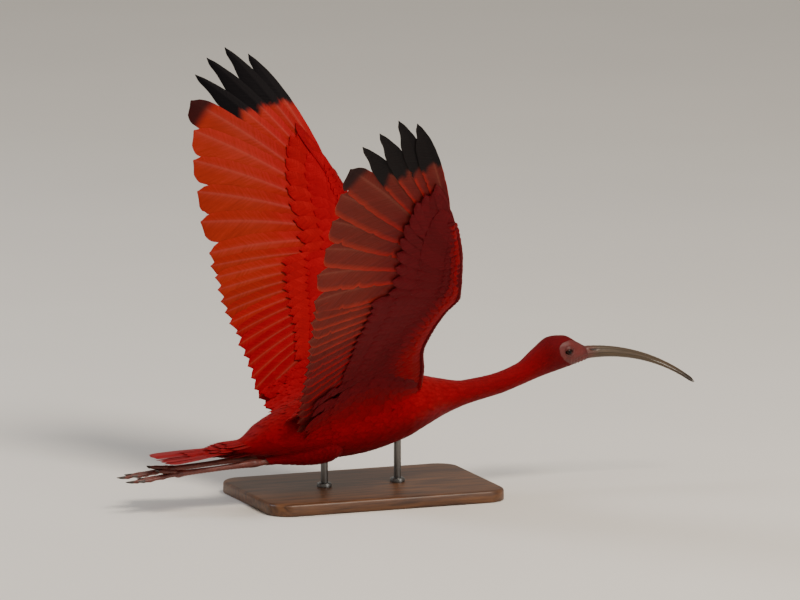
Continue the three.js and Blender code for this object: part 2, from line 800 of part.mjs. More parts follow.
// The foot: three long front toes laid back together with small webs, and a hind toe above them.
function footSolid() {
  const y = leg.half - leg.closing;
  const joint = at(leg.footX - gap - heel.toesBehind, y, leg.footZ + heel.toesRise);
  const heelX = leg.footX - gap;
  const heelLine = [at(heelX, y, leg.footZ), at(heelX - heel.length, y, leg.footZ + heel.rise)];
  let foot = solidOf(limb(heelLine, heel.radii, limbSides.heel));
  const onToe = (toe, t) => {
    const out = toe.length * t;
    return at(joint.x - out, joint.y + out * toe.spread, joint.z + toe.lift + out * toe.rise);
  };
  for (const toe of toes) {
    const line = toeForm.shares.map((t) => onToe(toe, t));
    foot = foot.add(solidOf(limb(line, toeForm.radii, limbSides.toe)));
    const tip = [0, 0.5, 1].map((t) => {
      return onToe(toe, claw.from + (1 - claw.from) * t).add(at(0, 0, claw.lift * t * t));
    });
    foot = foot.add(solidOf(limb(tip, claw.radii, limbSides.claw)));
  }
  for (const toe of [toes[1], toes[2]]) {
    const raised = (which, t, n) => onToe(which, t).add(at(0, 0, n));
    const row = (n) => web.shares.map((t) => [raised(toes[0], t, n), raised(toe, t * web.widen, n)]);
    foot = foot.add(solidOf(plate(row(web.half), row(-web.half))));
  }
  return largest(foot);
}

// Lays a bird piece into the part's frame: tipped nose up and lifted on to the stand.
const originHeight = stand.thick + stand.bellyHeight;
const tipped = new THREE.Matrix4().makeRotationY(-nosePitch).setPosition(0, 0, originHeight);

// A rod, cut off just under the belly.
function rodSolid(x) {
  const foot = stand.thick + gap;
  const height = originHeight - foot;
  const rod = new THREE.CylinderGeometry(stand.rodRadius, stand.rodRadius, height, stand.rodSides);
  rod.rotateX(Math.PI / 2).translate(x, 0, foot + height / 2);
  const belly = torso.clone().applyMatrix4(tipped).translate(0, 0, -gap);
  return largest(solidOf(rod).subtract(solidOf(belly)));
}

function baseGeometry() {
  const { length, width, corner, bevel, thick } = stand;
  const [x, y, r] = [length / 2 - bevel, width / 2 - bevel, corner];
  const outline = new THREE.Shape();
  outline.absarc(x - r, y - r, r, 0, Math.PI / 2);
  outline.absarc(-x + r, y - r, r, Math.PI / 2, Math.PI);
  outline.absarc(-x + r, -y + r, r, Math.PI, 1.5 * Math.PI);
  outline.absarc(x - r, -y + r, r, 1.5 * Math.PI, 2 * Math.PI);
  const options = {
    depth: thick - 2 * bevel,
    bevelThickness: bevel,
    bevelSize: bevel,
    bevelSegments: 1,
    curveSegments: stand.cornerSteps,
  };
  return new THREE.ExtrudeGeometry(outline, options).translate(stand.centreX, 0, bevel);
}

const looks = {
  plumage: new THREE.MeshStandardMaterial({ color: colours.plumage, roughness: 0.75, metalness: 0 }),
  bill: new THREE.MeshStandardMaterial({ color: colours.bill, roughness: 0.45, metalness: 0 }),
  eye: new THREE.MeshStandardMaterial({ color: colours.eye, roughness: 0.1, metalness: 0 }),
  skin: new THREE.MeshStandardMaterial({ color: colours.skin, roughness: 0.6, metalness: 0 }),
  rod: new THREE.MeshStandardMaterial({ color: colours.rod, roughness: 0.4, metalness: 1 }),
  base: new THREE.MeshStandardMaterial({ color: colours.base, roughness: 0.5, metalness: 0 }),
};

function meshOf(name, geometry, look) {
  const mesh = new THREE.Mesh(geometry, look);
  mesh.name = name;
  return mesh;
}

// Puts the bird together.
const bird = new THREE.Group();
bird.add(meshOf("torso", torso, looks.plumage));
bird.add(meshOf("neck", neck, looks.plumage));
bird.add(meshOf("head", geometryOf(headSolid()), looks.plumage));
bird.add(meshOf("bill_upper", geometryOf(upperBillSolid()), looks.bill));
bird.add(meshOf("bill_lower", geometryOf(largest(mandible(-1))), looks.bill));
bird.add(meshOf("tail", geometryOf(tailSolid()), looks.plumage));

const paired = {
  eye: [new THREE.SphereGeometry(eye.radius, eye.sides, eye.rows).translate(...eyeCentre()), looks.eye],
  wing: [geometryOf(wingSolid()), looks.plumage],
  thigh: [geometryOf(thighSolid()), looks.plumage],
  leg: [legGeometry(), looks.skin],
  foot: [geometryOf(footSolid()), looks.skin],
};
for (const [name, [geometry, look]] of Object.entries(paired)) {
  bird.add(meshOf(name + "_left", geometry, look));
  bird.add(meshOf(name + "_right", mirrored(geometry), look));
}
bird.applyMatrix4(tipped);

const ibis = new THREE.Group();
ibis.add(bird);
ibis.add(meshOf("stand_base", baseGeometry(), looks.base));
ibis.add(meshOf("stand_rod_front", geometryOf(rodSolid(stand.rodX[0])), looks.rod));
ibis.add(meshOf("stand_rod_rear", geometryOf(rodSolid(stand.rodX[1])), looks.rod));

// Centres the part's box over the origin.
const box = new THREE.Box3().setFromObject(ibis, true);
ibis.position.x = -(box.min.x + box.max.x) / 2;

export default ibis;
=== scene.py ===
import bpy
import numpy as np
from math import cos, pi, radians, sin, tan
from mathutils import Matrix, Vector


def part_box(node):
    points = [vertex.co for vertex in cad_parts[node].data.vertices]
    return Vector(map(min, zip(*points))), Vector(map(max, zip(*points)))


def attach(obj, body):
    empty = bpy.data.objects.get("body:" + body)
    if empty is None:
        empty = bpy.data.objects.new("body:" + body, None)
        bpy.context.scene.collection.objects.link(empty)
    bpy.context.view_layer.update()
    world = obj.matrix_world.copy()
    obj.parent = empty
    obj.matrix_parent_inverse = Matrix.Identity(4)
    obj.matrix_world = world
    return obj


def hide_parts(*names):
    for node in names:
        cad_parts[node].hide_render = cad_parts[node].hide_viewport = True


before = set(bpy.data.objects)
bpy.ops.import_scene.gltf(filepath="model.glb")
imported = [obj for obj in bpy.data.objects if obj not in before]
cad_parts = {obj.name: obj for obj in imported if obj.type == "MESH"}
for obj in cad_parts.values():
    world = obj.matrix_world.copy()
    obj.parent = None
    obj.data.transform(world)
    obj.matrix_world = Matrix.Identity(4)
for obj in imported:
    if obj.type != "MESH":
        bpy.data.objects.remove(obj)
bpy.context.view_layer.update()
scene = bpy.context.scene
millimetre = 0.001

# Camera and light
photoView = {
    "azimuth": -21,  # degrees round from a pure side view, and above the bird's level
    "elevation": 10,
    "distance": 18,  # metres: the photo is taken from far off, so it has next to no perspective
    "frameWidth": 0.92,  # metres across the picture at the bird
    "aim": (-0.012, 0, 0.226),
    "sensor": 36,
    "sight": 200,  # metres
}
studio = {
    "floorHalf": 14,
    "floorTones": [(0, "dedad3"), (1, "e4e0d9")],
    "mottle": 3,  # patches to the metre
    "key": {"place": (0.9, -1.9, 3.5), "size": 1.6, "watts": 150, "colour": "fff4e6"},
    "rim": {"place": (-2.4, 1.6, 2.2), "size": 1.4, "watts": 46, "colour": "e8f0ff"},
    "fill": {"place": (1.8, -3.2, 0.9), "size": 2.4, "watts": 26, "colour": "ffffff"},
    "sky": "e9e3d9",
    "skyStrength": 0.5,
}


# A hex colour as straight light: the screen's curve is undone in each channel.
def linear(code):
    parts = [int(code[i : i + 2], 16) / 255 for i in (0, 2, 4)]
    straight = [p / 12.92 if p <= 0.04045 else ((p + 0.055) / 1.055) ** 2.4 for p in parts]
    return (*straight, 1)


def colourOf(code):
    return np.array(linear(code)[:3])


def towards(place, aim):
    return (Vector(aim) - Vector(place)).to_track_quat("-Z", "Y").to_euler()


def makeCamera():
    a, e = radians(photoView["azimuth"]), radians(photoView["elevation"])
    back = np.array([sin(a) * cos(e), -cos(a) * cos(e), sin(e)])
    aim = np.array(photoView["aim"])
    place = aim + back * photoView["distance"]
    data = bpy.data.cameras.new("camera")
    data.sensor_width = photoView["sensor"]
    data.lens = data.sensor_width * photoView["distance"] / photoView["frameWidth"]
    data.clip_end = photoView["sight"]
    camera = bpy.data.objects.new("camera", data)
    camera.location = place
    camera.rotation_euler = towards(place, aim)
    scene.collection.objects.link(camera)
    scene.camera = camera


# Fills a node's inputs: an output of another node is linked, and anything else is the input's own value.
def feed(material, node, inputs):
    for name, value in inputs.items():
        if isinstance(value, bpy.types.NodeSocket):
            material.node_tree.links.new(value, node.inputs[name])
        else:
            node.inputs[name].default_value = value


def addNode(material, kind, inputs, **settings):
    node = material.node_tree.nodes.new("ShaderNode" + kind)
    for name, value in settings.items():
        setattr(node, name, value)
    feed(material, node, inputs)
    return node


def newMaterial(name, inputs):
    material = bpy.data.materials.new(name)
    material.use_nodes = True
    surface = material.node_tree.nodes["Principled BSDF"]
    feed(material, surface, inputs)
    return material, surface


def setRamp(ramp, stops):
    for element, (position, code) in zip(ramp.color_ramp.elements, stops):
        element.position, element.color = position, linear(code)


# Matt painted board: no gloss, a faint mottle from the roller.
def makeFloorPaint():
    material, surface = newMaterial("mattPaintedBoard", {"Roughness": 0.9, "Specular IOR Level": 0.2})
    place = addNode(material, "TexCoord", {}).outputs["Object"]
    noise = addNode(material, "TexNoise", {"Vector": place, "Scale": studio["mottle"]})
    ramp = addNode(material, "ValToRGB", {"Fac": noise.outputs["Fac"]})
    setRamp(ramp, studio["floorTones"])
    feed(material, surface, {"Base Color": ramp.outputs["Color"]})
    return material


def makeStudio():
    half = studio["floorHalf"]
    corners = [(-half, -half, 0), (half, -half, 0), (half, half, 0), (-half, half, 0)]
    mesh = bpy.data.meshes.new("floor")
    mesh.from_pydata(corners, [], [(0, 1, 2, 3)])
    mesh.materials.append(makeFloorPaint())
    floor = bpy.data.objects.new("floor", mesh)
    scene.collection.objects.link(floor)
    for name in ("key", "rim", "fill"):
        spec = studio[name]
        light = bpy.data.lights.new(name, "AREA")
        light.shape = "DISK"
        light.size = spec["size"]
        light.energy = spec["watts"]
        light.color = linear(spec["colour"])[:3]
        lamp = bpy.data.objects.new(name, light)
        lamp.location = spec["place"]
        lamp.rotation_euler = towards(spec["place"], photoView["aim"])
        scene.collection.objects.link(lamp)
    world = bpy.data.worlds.new("studioAir")
    world.use_nodes = True
    sky = world.node_tree.nodes["Background"]
    sky.inputs["Color"].default_value = linear(studio["sky"])
    sky.inputs["Strength"].default_value = studio["skyStrength"]
    scene.world = world


makeCamera()
makeStudio()
print("stage set")

# Frame of the bird: tipped nose up, and set in metres over the middle of the stand's board.
nosePitch = radians(12)
seat = {"forward": 0.082, "up": 0.096}
baseLow, baseHigh = [np.array(corner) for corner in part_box("stand_base")]
birdPlace = np.array([(baseLow[0] + baseHigh[0]) / 2 + seat["forward"], 0, baseHigh[2] + seat["up"]])


def toPart(points):
    x, y, z = np.moveaxis(np.asarray(points, float) * millimetre, -1, 0)
    turned = [x * cos(nosePitch) - z * sin(nosePitch), y, x * sin(nosePitch) + z * cos(nosePitch)]
    return np.stack(turned, -1) + birdPlace


# A place in the bird's millimetres from one in the part's own frame, the reverse of toPart.
def fromPart(points):
    x, y, z = np.moveaxis((np.asarray(points, float) - birdPlace) / millimetre, -1, 0)
    turned = [x * cos(nosePitch) + z * sin(nosePitch), y, -x * sin(nosePitch) + z * cos(nosePitch)]
    return np.stack(turned, -1)


# A curve through points of growing first value: a cubic between each two, whose slope at a point is the
# harmonic mean of the slopes beside it, and level where they differ in sign.
def smoothThrough(points):
    xs, ys = np.array(points, float).T
    slopes = np.diff(ys) / np.diff(xs)
    before, after = np.r_[slopes[:1], slopes], np.r_[slopes, slopes[-1:]]
    same = before * after > 0
    tangents = np.where(same, 2 * before * after / np.where(same, before + after, 1), 0)

    def value(x):
        held = np.clip(x, xs[0], xs[-1])
        i = np.clip(np.searchsorted(xs, held, side="right") - 1, 0, len(xs) - 2)
        width = xs[i + 1] - xs[i]
        t = (held - xs[i]) / width
        rise = t * t * (3 - 2 * t)
        bend = tangents[i] * t * (1 - t) ** 2 - tangents[i + 1] * t * t * (1 - t)
        return ys[i] * (1 - rise) + ys[i + 1] * rise + width * bend

    return value


def ease(t):
    held = np.clip(t, 0, 1)
    return held * held * (3 - 2 * held)


def mix(low, high, share):
    return low + (high - low) * share


def unit(vectors):
    return vectors / np.linalg.norm(vectors, axis=-1, keepdims=True)


def crossed(first, second):
    return np.meshgrid(first, second, indexing="ij")


def fullTurn(steps):
    return np.linspace(0, 2 * pi, steps, endpoint=False)


# Bell of height 1 about the middle, down to 1/e at the given half width.
def bell(value, middle, half):
    return np.exp(-(((value - middle) / half) ** 2))


# Factors spread evenly about 1, by at most the share.
def vary(rng, share, shape):
    return 1 + share * rng.uniform(-1, 1, shape)


# Cheap smooth noise in -1 to 1: three sine waves that run across each other.
def ripple(a, b):
    one = np.sin(a * 1.7 + 2.3 * np.sin(b * 1.1))
    two = np.sin(b * 2.3 + 1.9 * np.sin(a * 0.9))
    return (one + two + np.sin(a * 3.9 + b * 3.1)) / 3


# Mesh pieces. A shape is a dictionary: points in the bird's millimetres, faces as arrays of corner
# numbers, and for each corner a colour (tint), a place along and across its own barbs (vane) and a place
# on the unwrapped skin (bake). mapFaces are the faces' corner numbers in those two maps.
def merge(shapes):
    pointStarts = np.cumsum([0] + [len(one["points"]) for one in shapes])
    mapStarts = np.cumsum([0] + [len(one["bake"]) for one in shapes])
    joined = {"faces": [], "mapFaces": []}
    for one, start, mapStart in zip(shapes, pointStarts, mapStarts):
        joined["faces"] += [face + start for face in one["faces"]]
        joined["mapFaces"] += [face + mapStart for face in one.get("mapFaces", one["faces"])]
    for key in ("points", "tint", "vane", "bake"):
        joined[key] = np.concatenate([one[key] for one in shapes])
    return joined


# The same shape on the bird's other side: every y turned over, and every face with it.
def mirrored(shape):
    copy = dict(shape)
    copy["points"] = shape["points"] * [1, -1, 1]
    copy["faces"] = [face[:, ::-1] for face in shape["faces"]]
    copy["mapFaces"] = [face[:, ::-1] for face in shape.get("mapFaces", shape["faces"])]
    return copy


# Turns a closed shape's faces over if its volume, summed from its corners, comes out below nothing.
def facingOut(shape):
    volume = 0
    for face in shape["faces"]:
        corner = shape["points"][face]
        for k in range(1, face.shape[1] - 1):
            cross = np.cross(corner[:, k], corner[:, k + 1])
            volume += np.einsum("ij,ij->", corner[:, 0], cross)
    if volume < 0:
        for key in {"faces", "mapFaces"} & set(shape):
            shape[key] = [face[:, ::-1] for face in shape[key]]
    return shape


def makePiece(name, shape, materials, creaseAngle=55, replaced=(), faceLooks=None):
    faces, points = shape["faces"], shape["points"]
    corners = np.concatenate([face.ravel() for face in faces])
    mapCorners = np.concatenate([face.ravel() for face in shape.get("mapFaces", faces)])
    sizes = np.concatenate([np.full(len(face), face.shape[1]) for face in faces])
    mesh = bpy.data.meshes.new(name)
    mesh.vertices.add(len(points))
    mesh.loops.add(len(corners))
    mesh.polygons.add(len(sizes))
    mesh.vertices.foreach_set("co", toPart(points).astype(np.float32).ravel())
    mesh.loops.foreach_set("vertex_index", corners.astype(np.int32))
    mesh.polygons.foreach_set("loop_start", (np.cumsum(sizes) - sizes).astype(np.int32))
    mesh.polygons.foreach_set("use_smooth", np.ones(len(sizes), bool))
    if faceLooks is not None:
        mesh.polygons.foreach_set("material_index", faceLooks.astype(np.int32))
    mesh.update(calc_edges=True)
    for title, key in (("vane", "vane"), ("OFBake", "bake")):
        layer = mesh.uv_layers.new(name=title)
        layer.uv.foreach_set("vector", shape[key][mapCorners].astype(np.float32).ravel())
    tint = mesh.attributes.new("tint", "FLOAT_COLOR", "POINT")
    tint.data.foreach_set("color", np.c_[shape["tint"], np.ones(len(points))].astype(np.float32).ravel())
    for material in materials:
        mesh.materials.append(material)
    mesh.set_sharp_from_angle(angle=radians(creaseAngle))
    piece = bpy.data.objects.new(name, mesh)
    scene.collection.objects.link(piece)
    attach(piece, "root")
    if replaced:
        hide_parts(*replaced)
    print(f"{name}: {int((sizes - 2).sum())} triangles")


# A closed tube over rings of points, rows by sides, with a pole at each end. patch is the part of the
# unwrapped square it fills: lowest u, lowest v, width, height.
def tube(rings, tint, patch=(0, 0, 1, 1)):
    rows, sides = rings.shape[:2]
    number = np.arange(rows * sides).reshape(rows, sides)
    beside = np.roll(number, -1, axis=1)
    first, last = np.full(sides, rows * sides), np.full(sides, rows * sides + 1)
    quads = np.stack([number[:-1], beside[:-1], beside[1:], number[1:]], -1).reshape(-1, 4)
    startCap = np.stack([beside[0], number[0], first], -1)
    endCap = np.stack([number[-1], beside[-1], last], -1)
    mapNumber = np.arange(rows * (sides + 1)).reshape(rows, sides + 1)
    left, right = mapNumber[:, :-1], mapNumber[:, 1:]
    mapQuads = np.stack([left[:-1], right[:-1], right[1:], left[1:]], -1).reshape(-1, 4)
    pole = np.arange(sides) + rows * (sides + 1)
    mapStart = np.stack([right[0], left[0], pole], -1)
    mapEnd = np.stack([left[-1], right[-1], pole + sides], -1)
    u, v = crossed(np.linspace(0.01, 0.99, rows), np.linspace(0.01, 0.99, sides + 1))
    middle = (np.arange(sides) + 0.5) / sides
    poles = [np.c_[np.full(sides, edge), middle] for edge in (0, 1)]
    bake = np.concatenate([np.c_[u.ravel(), v.ravel()], *poles])
    points = np.concatenate([rings.reshape(-1, 3), [rings[0].mean(0)], [rings[-1].mean(0)]])
    shades = np.broadcast_to(tint, rings.shape).reshape(-1, 3)
    return facingOut(
        {
            "points": points,
            "faces": [quads, startCap, endCap],
            "mapFaces": [mapQuads, mapStart, mapEnd],
            "tint": np.concatenate([shades, shades[:1], shades[-1:]]),
            "vane": bake,
            "bake": np.array(patch[:2]) + bake * patch[2:],
        }
    )


# A closed surface over rings that also join end to end, as round an eye.
def ringSurface(rings, tint):
    rows, sides = rings.shape[:2]
    number = np.arange(rows * sides).reshape(rows, sides)
    beside, ahead = np.roll(number, -1, axis=1), np.roll(number, -1, axis=0)
    quads = np.stack([number, beside, np.roll(beside, -1, axis=0), ahead], -1)
    mapNumber = np.arange((rows + 1) * (sides + 1)).reshape(rows + 1, sides + 1)
    mapQuads = [mapNumber[:-1, :-1], mapNumber[:-1, 1:], mapNumber[1:, 1:], mapNumber[1:, :-1]]
    u, v = crossed(np.linspace(0, 1, rows + 1), np.linspace(0, 1, sides + 1))
    bake = np.c_[u.ravel(), v.ravel()]
    return facingOut(
        {
            "points": rings.reshape(-1, 3),
            "faces": [quads.reshape(-1, 4)],
            "mapFaces": [np.stack(mapQuads, -1).reshape(-1, 4)],
            "tint": np.broadcast_to(tint, rings.shape).reshape(-1, 3),
            "vane": bake,
            "bake": bake,
        }
    )


# Rings of a round limb along a smooth line: points of the line with a radius each are joined by smooth
# curves in the distance along it, and each ring lies square to the line. flat squeezes it from above.
def limbRings(line, radii, rows, sides, flat=1):
    line = np.array(line, float)
    steps = np.r_[0, np.cumsum(np.linalg.norm(np.diff(line, axis=0), axis=1))]
    far = np.linspace(0, steps[-1], rows)
    centre = np.stack([smoothThrough(np.c_[steps, line[:, k]])(far) for k in range(3)], -1)
    wide = smoothThrough(np.c_[steps, radii])(far)[:, None, None]
    along = unit(np.gradient(centre, axis=0))
    side = unit(np.cross([0, 0, 1], along))
    up = np.cross(along, side)
    turn = fullTurn(sides)[None, :, None]
    return centre[:, None] + wide * np.cos(turn) * side[:, None] + wide * flat * np.sin(turn) * up[:, None]


# Feathers as thin closed vanes that are grown together. Each has a root in the plan of its surface, a
# heading there, and a half width, or one for its leading and one for its trailing side. Its edge follows
# the outline, rows of: share of the length, share of the half width, and another for the trailing side
# where that differs. Its height over the surface is base + rise by the share of the length, plus tilt by
# the distance to the leading side, plus cup in the middle and shaft along it, and curl lifts its tip. bend
# sets it sideways halfway along, and blunt rounds its tip. place turns plan position and height into a
# point, and stretch is the plan's second measure for each millimetre.
def growVanes(place, spec, outline, across, patch=0.003):
    t, leadShare, trailShare = np.array(outline, float).T[[0, 1, -1]]
    s = np.array(across, float)
    ring = np.r_[s, s[-2:0:-1]]
    upper = np.r_[np.ones(len(s)), -np.ones(len(s) - 2)]
    count, rows, sides = len(spec["root"]), len(t), len(ring)

    def column(key, usual=0):
        values = np.asarray(spec.get(key, usual), float)
        if values.ndim < 2:
            values = np.broadcast_to(values, (count,))[:, None]
        return values[:, :, None]

    t, r = t[None, :, None], ring[None, None, :]
    edge = spec.get("edge", np.ones((count, rows, 2)))
    lead = column("lead", spec.get("half")) * leadShare[None, :, None] * edge[:, :, :1]
    trail = column("trail", spec.get("half")) * trailShare[None, :, None] * edge[:, :, 1:]
    side = np.where(r > 0, lead, trail) * r
    shift = side + column("bend") * 4 * t * (1 - t)
    along = column("length") * t - column("blunt") * r**2 * t**4
    heading = column("heading")
    p = spec["root"][:, 0, None, None] + np.cos(heading) * along + np.sin(heading) * shift
    q = spec["root"][:, 1, None, None]
    q = q + (np.sin(heading) * along - np.cos(heading) * shift) * column("stretch", 1)
    thick = column("thick", 0.3) * (1 - 0.7 * t) * (1 - r**4) / 2
    height = column("base") + column("rise") * t + column("tilt") * side + column("cup") * (1 - r**2)
    height = height + column("curl") * t**2 + column("shaft") * (1 - t) * bell(r, 0, 0.09)
    shape = (count, rows, sides)
    p, q, height = [np.broadcast_to(one, shape) for one in (p, q, height + thick * upper)]
    number = np.arange(count * rows * sides).reshape(shape)
    beside = np.roll(number, -1, axis=2)
    quads = np.stack([number[:, :-1], beside[:, :-1], beside[:, 1:], number[:, 1:]], -1)
    barb = np.broadcast_to(np.stack(np.broadcast_arrays(along - 0.9 * np.abs(side), side), -1), (*shape, 2))
    onVane = np.stack(np.broadcast_arrays((r + 1) / 2, t), -1)
    bake = spec["bake"][:, None, None] + np.broadcast_to(onVane, (*shape, 2)) * patch
    return facingOut(
        {
            "points": place(p, q, height).reshape(-1, 3),
            "faces": [quads.reshape(-1, 4), number[:, 0, ::-1], number[:, -1]],
            "vane": (barb * millimetre).reshape(-1, 2),
            "bake": bake.reshape(-1, 2),
            "t": np.broadcast_to(t, shape),
            "r": np.broadcast_to(r, shape),
            "upper": np.broadcast_to(upper, shape),
        }
    )


# The outline of a large feather at finer shares of its length.
def fineOutline(outline, t):
    return np.stack([t] + [smoothThrough(np.array(outline)[:, [0, k]])(t) for k in (1, 2)], -1)


# Colours a batch of vanes: one colour at the root and one at the tip, and one number for each feather by
# which it is lighter or darker. A root colour darker than the tip is painted shade, where the feathers over
# it cover the root.
def tintVanes(shape, root, tip, bright):
    t = shape["t"][..., None]
    root, tip = [np.asarray(one, float).reshape(-1, 1, 1, 3) for one in (root, tip)]
    colour = mix(root, tip, ease((t - 0.15) / 0.75)) * np.asarray(bright).reshape(-1, 1, 1, 1)
    shape["tint"] = np.clip(colour, 0, 1).reshape(-1, 3)
    return shape


# Plumage colours, as they would be under plain white light, but for painted shade: belly, wingUnder and
# flightUnder are darker than the upper sides as painted shade on the bird's under sides, and crown and neck
# are darker partly by their own duller tone and partly by painted shade.
plumage = {
    # crown and neck: darker than the back, partly by their own duller tone and partly by painted shade
    "crown": "5a0a10",
    "neck": "760a13",
    "back": "84050f",
    # painted shade: the belly is the back's scarlet darkened as if in the body's own shadow
    "belly": "740814",
    "wingTop": "8e0410",
    "wingEdge": "7e0610",
    # painted shade: the wing's under side darkened as if in its own shadow
    "wingUnder": "560c13",
    "greaterTop": "8e0c12",
    "flightTop": "8c1912",
    "flightTrail": "91271b",
    # painted shade: the flight feathers' under side darkened as if in shadow
    "flightUnder": "631e17",
    "tips": "0a0a0d",
    "tailTop": "800a12",
    "down": "4a0a10",
    "face": "5c1a16",
}
colours = {name: colourOf(code) for name, code in plumage.items()}
featherSurface = {
    "Specular IOR Level": 0.2,
    "Sheen Weight": 0.05,
    "Sheen Roughness": 0.45,
    "Sheen Tint": (1, 0.42, 0.36, 1),
}


# Feather vane: soft keratin, matt, with a faint bloom at a grazing angle, and combed into barbs. Its
# pigment also tints the little light that the surface throws back, so the red stays deep.
# A real barb is 0.4 mm apart, under a pixel, so the streaks are ten times as coarse.
def makeFeatherMaterial(name, streakSize, contrast, roughness):
    material, surface = newMaterial(name, {"Roughness": roughness, **featherSurface})
    tint = addNode(material, "Attribute", {}, attribute_name="tint").outputs["Color"]
    lie = addNode(material, "UVMap", {}, uv_map="vane").outputs["UV"]
    combed = addNode(material, "VectorMath", {0: lie, 1: (1, 0.16, 1)}, operation="MULTIPLY").outputs[0]
    grain = {"Vector": combed, "Scale": 1 / streakSize, "Detail": 3, "Roughness": 0.6}
    streak = addNode(material, "TexNoise", grain).outputs["Fac"]
    limits = {"From Min": 0.25, "From Max": 0.75, "To Min": 1 - contrast, "To Max": 1 + contrast}
    level = addNode(material, "MapRange", {"Value": streak, **limits}).outputs[0]
    colour = addNode(material, "VectorMath", {0: tint, "Scale": level}, operation="SCALE")
    pigment = {0: tint, 1: (2.2, 2.2, 2.2), 2: (0.14, 0.12, 0.12)}
    gloss = addNode(material, "VectorMath", pigment, operation="MULTIPLY_ADD")
    relief = addNode(material, "Bump", {"Height": streak, "Strength": 0.45, "Distance": 0.0006})
    feed(material, surface, {"Base Color": colour.outputs[0], "Specular Tint": gloss.outputs[0]})
    feed(material, surface, {"Normal": relief.outputs["Normal"]})
    return material


contourFeather = makeFeatherMaterial("contourFeather", 0.0035, 0.2, 0.66)
flightFeather = makeFeatherMaterial("flightFeather", 0.0045, 0.16, 0.5)
print("plumage materials ready")

# The body outline: x, top, bottom, half width. The first rings run on along the tail.
bodyRings = np.array(
    [
        [-320, 20.9, 16.1, 19],
        [-300, 17.9, 12.7, 17],
        [-270, 13.6, 7.6, 14],
        [-254, 15.5, 0.5, 14.5],
        [-238, 15, -4, 15],
        [-210, 27, -12, 28],
        [-175, 36, -23.5, 39],
        [-130, 44, -35.5, 46],
        [-88, 47, -39.5, 48],
        [-45, 43, -36.5, 45],
        [-15, 33, -29.5, 36],
        [15, 19, -23, 22],
        [45, 8, -19.5, 15.5],
        [83, 5.5, -19, 12.5],
        [112, 9, -16, 12.8],
        [136, 21, -13, 14.5],
        [157, 29.5, -11.5, 16.8],
        [175, 26, -10.5, 15.5],
        [188, 15.5, -9.8, 11.5],
        [197, 7.5, -9, 7.5],
    ]
)
bodyTop, bodyBottom, bodyHalf = [smoothThrough(bodyRings[:, [0, k]]) for k in (1, 2, 3)]
billFace = 197
skinEnd = -268


# A place on the body: the oval ring at x, at an angle round from the left side up over the back, with
# both half axes grown by the height.
def onBody(x, turn, height):
    top, bottom = bodyTop(x), bodyBottom(x)
    wide, high = bodyHalf(x) + height, (top - bottom) / 2 + height
    return np.stack([x, wide * np.cos(turn), (top + bottom) / 2 + high * np.sin(turn)], -1)


# How far the surface runs for each radian of turn, at a place on the body.
def bodySpeed(x, turn):
    step = 0.01
    return np.linalg.norm(onBody(x, turn + step, 0) - onBody(x, turn - step, 0), axis=-1) / (2 * step)


# The edge of the bare face, as x by the height on the head: far forward on the crown, back behind the eye.
faceLine = smoothThrough(
    [[-1, 181], [-0.8, 174], [-0.35, 165], [0.1, 161.5], [0.4, 162.5], [0.62, 168], [0.8, 179], [1, 188]]
)


def faceEdge(turn):
    return faceLine(np.sin(turn))


# Contour feathers of the body, from the rump to the face. Curves are rows of x and value.
contour = {
    "spacing": [
        *([-262, 8], [-150, 7.2], [-60, 6.6], [0, 5.4]),
        *([40, 3.9], [110, 3.2], [130, 2.5], [188, 1.9]),
    ],
    "rowGap": 0.94,  # from row to row, as a share of the spacing
    "lengthFor": [[-150, 3.4], [40, 3.8], [130, 4.4]],  # for each millimetre of spacing
    "halfFor": [[-150, 0.72], [40, 0.66], [130, 0.6]],
    # painted shade: each feather is darker at its root, where the row over it covers it
    "rootShade": [[-150, 0.8], [130, 0.92]],
    "fullSize": 7.2,  # spacing from which a feather has its full thickness
    "tailward": 0.75,  # how much longer the feathers get over the tail's root
    "wingRoot": (-50, -150, radians(24), radians(84)),  # x from and to, turn from the back's middle line
    "fringe": {"rows": 3, "count": 92, "gap": 1.3},  # the finest feathers, along the edge of the bare face
    # the tones darken to the neck and crown, partly by the head's own duller tone and partly by painted
    # shade
    "toneAt": [-262, -190, 0, 70, 128, 160],
    "tones": ["tailTop", "back", "back", "neck", "neck", "crown"],
    "seed": 11,
}


# Roots of the fringe: rows along the edge of the bare face, each set half a step round and scattered.
def fringeRoots(rng):
    rule = contour["fringe"]
    row, step = crossed(np.arange(rule["rows"]), np.arange(rule["count"]))
    turn = (step + 0.5 * (row % 2) + rng.uniform(-0.3, 0.3, step.shape)) / rule["count"] * 2 * pi
    x = faceEdge(turn) - rule["gap"] * (0.75 * row + rng.uniform(-0.35, 0.35, step.shape))
    return x.ravel(), turn.ravel(), np.full(x.size, rule["gap"])


